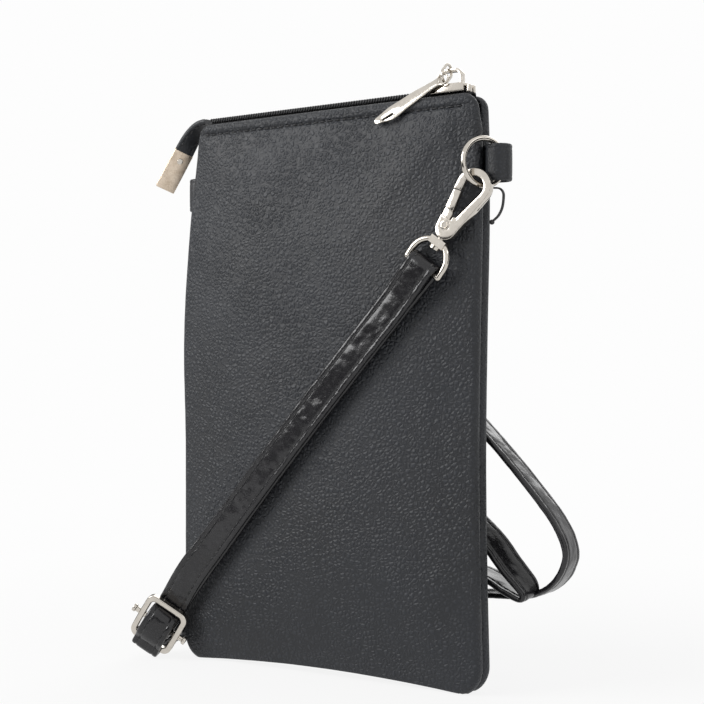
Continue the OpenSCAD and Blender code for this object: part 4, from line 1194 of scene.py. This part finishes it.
def rivet(side):
    """The gate's rivet: both of its heads turned, with a ring cut round the middle."""
    axis = joint_axis(f"gate_{side}_open")
    pivot = joint_place(f"gate_{side}_open")
    node = frame["nodes"][f"gate_rivet_{side}"]
    spots = np.array([node.matrix_world @ v.co for v in node.data.vertices]) / MM - pivot
    along = spots @ axis
    low, high = along.min(), along.max()
    r = np.linalg.norm(spots - np.outer(along, axis), axis=1).max()
    profile = [(r * share, low + deep) for share, deep in RIVET_HEAD]
    profile += [(r * share, high - deep) for share, deep in RIVET_HEAD[::-1]]
    out = unit(np.cross(axis, [0.3, 0.2, 0.9]))
    beside = np.cross(axis, out)
    skin = sweep([pivot + z * axis + circle(radius, out, beside, RIVET_SIDES) for radius, z in profile])
    make_piece(f"rivet_{side}", skin, "pale_nickel", f"hook_{side}", [f"gate_rivet_{side}"], 30)


# Strap
# Stations behind the pouch: place as shares of half its width, its depth and its height, then the width's way
BACK_ROUTE_SHARES = [
    [-1.152, -0.22, 0.034, 0.75, 0.05, -0.64],
    [-1.13, 0.1, 0.045, 0.6, 0.1, -0.7],
    [-1.06, 0.38, 0.055, 0.35, 0.2, -0.9],
    [-0.93, 0.58, 0.068, 0.1, 0.5, -0.8],
    [-0.74, 0.72, 0.092, 0, 0.85, -0.5],
    [-0.42, 0.79, 0.17, 0, 1, -0.1],
    [0, 0.81, 0.262, 0, 1, 0],
    [0.36, 0.8, 0.306, 0, 1, 0.1],
    [0.68, 0.74, 0.305, 0.1, 0.95, 0.2],
    [0.92, 0.625, 0.257, 0.28, 0.92, 0.28],
    [1.06, 0.62, 0.208, 0.28, 0.92, 0.28],
    [1.15, 0.63, 0.177, 0.2, 0.95, 0.2],
    [1.165, 0.64, 0.162, 0.05, 1, 0.1],
    [1.125, 0.65, 0.158, -0.1, 1, 0.1],
    [1.03, 0.66, 0.17, -0.1, 1, 0.15],
    [0.92, 0.68, 0.187, 0, 1, 0.15],
    [0.7, 0.76, 0.2, 0, 1, 0.05],
    [0.46, 0.81, 0.195, 0, 1, 0],
    [0.355, 0.85, 0.18, 0, 1, 0],
    [0.34, 0.91, 0.162, 0, 1, 0],
    [0.4, 1, 0.147, 0, 1, 0],
    [0.6, 1.15, 0.143, 0, 1, 0],
    [0.86, 1.25, 0.146, 0, 1, 0],
    [1.09, 1.2, 0.152, 0, 1, 0],
    [1.255, 0.94, 0.172, 0, 1, 0],
    [1.365, 0.74, 0.203, 0, 1, 0],
    [1.405, 0.66, 0.241, 0, 1, 0],
    [1.34, 0.66, 0.287, 0, 1, 0],
    [1.18, 0.66, 0.347, 0, 1, 0],
    [0.965, 0.67, 0.417, 0, 1, 0],
    [0.73, 0.75, 0.477, 0, 1, 0],
    [0.36, 0.8, 0.53, 0, 1, 0],
    [0, 0.81, 0.572, 0, 1, 0],
    [-0.33, 0.8, 0.612, 0.2, 0.9, 0.2],
]


def station(place, width):
    """A place on the strap with the direction of its width."""
    return np.concatenate([place, width])


class StrapRoute:
    """The strap's way: two layers over the front, through the adjuster, and behind the pouch."""

    def __init__(self):
        self.start = joint_place("eye_tilt_right")
        self.across = joint_axis("eye_tilt_right")
        self.end = joint_place("adjuster_tilt")
        self.bar_across = joint_axis("adjuster_tilt")
        self.bar_way = -np.array([math.cos(ADJUSTER_LEAN), 0, math.sin(ADJUSTER_LEAN)])
        self.bar_back = np.cross(self.bar_across, self.bar_way)
        self.weave_l = ADJUSTER_L + WEAVE_OVER
        stop = self.end - self.weave_l * self.bar_way
        flat = np.array([stop[0] - self.start[0], 0, stop[2] - self.start[2]])
        self.run_l = float(np.linalg.norm(flat))
        self.way = unit(flat)
        self.run_across = np.array([-self.way[2], 0, self.way[0]])
        self.bend_r = EYE_WIRE / 2 + BEND_GAP + STRAP_T / 2
        self.layer_step = STRAP_T + LAYER_GAP

    def depth(self, d):
        p = self.start + d * self.way
        e = STRAP_W / 2 * self.run_across
        return max(panel_depth((p + k * e)[0], (p + k * e)[2]) for k in (-1, 0, 1))

    def width(self, d):
        first = blended(self.across, self.run_across, limited(d / STRAP_W))
        return unit(blended(first, self.bar_across, limited((d - self.run_l + self.weave_l) / self.weave_l)))

    def layer_y(self, d, layer):
        lift = SKIN_GAP + STRAP_T / 2 + layer * self.layer_step
        return -(self.depth(d) + lift + STRAP_W / 2 * abs(self.width(d)[1]))

    def run_station(self, d, layer):
        p = self.start + d * self.way
        fold_y = self.start[1] + (1 if layer == 0 else -1) * self.bend_r
        y = blended(fold_y, self.layer_y(max(d, FAN_L), layer), eased(d / FAN_L))
        return station([p[0], y, p[2]], self.width(d))

    def at_bar(self, along, behind):
        return station(self.end + along * self.bar_way + behind * self.bar_back, self.bar_across)

    def turn(self, along, behind, r, a0, a1, n):
        """Stations on an arc round a bar of the adjuster."""
        angles = np.radians(np.linspace(a0, a1, n + 1))
        return [self.at_bar(along + r * math.sin(a), behind + r * math.cos(a)) for a in angles]

    def layers(self):
        """Stations of the inner layer, then of the outer one."""
        pitch = ADJUSTER_L / 2 - FRAME_BAR / 2
        cross_r = FRAME_GAP + STRAP_T / 2
        weave_step = FRAME_T / 2 + cross_r
        bar_turn_r = BAR_D / 2 + LAYER_GAP + STRAP_T / 2
        over_y = -(bar_turn_r + self.layer_step)
        cross_x, cross_y = -ADJUSTER_L / 2 + FRAME_BAR, FRAME_T / 2
        stops = [self.run_l * i / RUN_STEPS for i in range(RUN_STEPS + 1)]
        inner = [self.run_station(d, 0) for d in stops]
        inner += [self.at_bar(-pitch, weave_step + self.layer_step), self.at_bar(0, bar_turn_r)]
        inner = list(smooth_path(inner, STRAP_STEPS)) + self.turn(0, 0, bar_turn_r, 15, 180, 12)
        outer = [self.run_station(d, 1) for d in stops]
        outer.append(self.at_bar(-pitch - FRAME_BAR, weave_step))
        # Through the frame over its upper bar, over the centre bar, and out under the lower bar
        outer += self.turn(cross_x, cross_y, cross_r, 10, 90, 2)
        outer.append(self.at_bar(cross_x + cross_r, -cross_y))
        outer.append(self.at_bar((cross_x + cross_r) * 0.72, over_y * 0.8))
        outer += [self.at_bar(0, over_y), self.at_bar(pitch / 2, over_y)]
        outer.append(self.at_bar(pitch - FRAME_BAR / 2, -FRAME_T / 2 - cross_r))
        outer = list(smooth_path(outer, STRAP_STEPS))
        for behind, a0, a1, n in ((-FRAME_T / 2, 180, 90, 8), (FRAME_T / 2, 90, 45, 4)):
            outer += self.turn(pitch + FRAME_BAR / 2, behind, cross_r, a0, a1, n)
        return inner, outer

    def round_eye(self, bar, across, away, angles):
        """Stations round an eye's bar, from behind it over the side opposite to away."""
        rows = []
        for a in np.radians(angles):
            spot = math.cos(a) * np.array([0, 1, 0]) - math.sin(a) * away
            rows.append(station(bar + self.bend_r * spot, across))
        return rows

    def back_run(self, last):
        """Stations behind the pouch, up to the turn round the left eye's bar."""
        bar = joint_place("eye_tilt_left")
        across = joint_axis("eye_tilt_left")
        away = unit(LEFT_EYE_WAY)
        scale = np.array([HALF_W, POUCH_D, POUCH_H, 1, 1, 1])
        controls = [last] + [np.array(row) * scale for row in BACK_ROUTE_SHARES]
        for out, behind in ((1.5, STRAP_T / 2), (0.5, STRAP_T)):
            controls.append(station(bar + out * STRAP_W * away + [0, behind, 0], across))
        run = list(smooth_path(controls, STRAP_STEPS))
        return run + self.round_eye(bar, across, away, range(0, 220, 10))

    def path(self):
        inner, outer = self.layers()
        turn = self.round_eye(self.start, self.across, self.way, range(10, 180, 10))
        return np.array(inner[::-1] + turn + outer + self.back_run(outer[-1])[1:])


class POUCH_OT_strap(bpy.types.Operator):
    """Stitched leather strap, one band from the adjuster's bar to the left hook"""

    bl_idname = "pouch.strap"
    bl_label = "Strap"

    def execute(self, context):
        path = StrapRoute().path()
        skin = band(path, band_profile(*STRAP_SECTION, STRAP_CROWN), 1.0)
        nodes = ["strap_inner", "strap_outer", "strap_back"]
        make_piece("strap_band", skin, "strap_leather", "pouch", nodes, 55)
        skin = edge_stitches(path, *STRAP_SECTION)
        make_piece("strap_stitches", skin, "sewing_thread", "pouch")
        return {"FINISHED"}


class POUCH_PT_panel(bpy.types.Panel):
    """Buttons and looks of the pouch"""

    bl_idname = "POUCH_PT_panel"
    bl_label = "Pouch"
    bl_space_type = "VIEW_3D"
    bl_region_type = "UI"
    bl_category = "Pouch"

    def draw(self, context):
        look = context.scene.pouch_look
        for name in PouchLook.__annotations__:
            self.layout.prop(look, name)
        for step in STEPS:
            self.layout.operator(step.bl_idname)


STEPS = (
    POUCH_OT_stage,
    POUCH_OT_tag,
    POUCH_OT_panels,
    POUCH_OT_linings,
    POUCH_OT_zip,
    POUCH_OT_tail,
    POUCH_OT_tabs,
    POUCH_OT_hardware,
    POUCH_OT_strap,
)
CLASSES = (PouchLook, *STEPS, POUCH_PT_panel)


def register():
    for item in CLASSES:
        bpy.utils.register_class(item)
    bpy.types.Scene.pouch_look = PointerProperty(type=PouchLook)


def unregister():
    del bpy.types.Scene.pouch_look
    for item in reversed(CLASSES):
        bpy.utils.unregister_class(item)


def main():
    """Builds the whole pouch."""
    register()
    for step in STEPS:
        group, name = step.bl_idname.split(".")
        getattr(getattr(bpy.ops, group), name)()


if __name__ == "__main__":
    main()
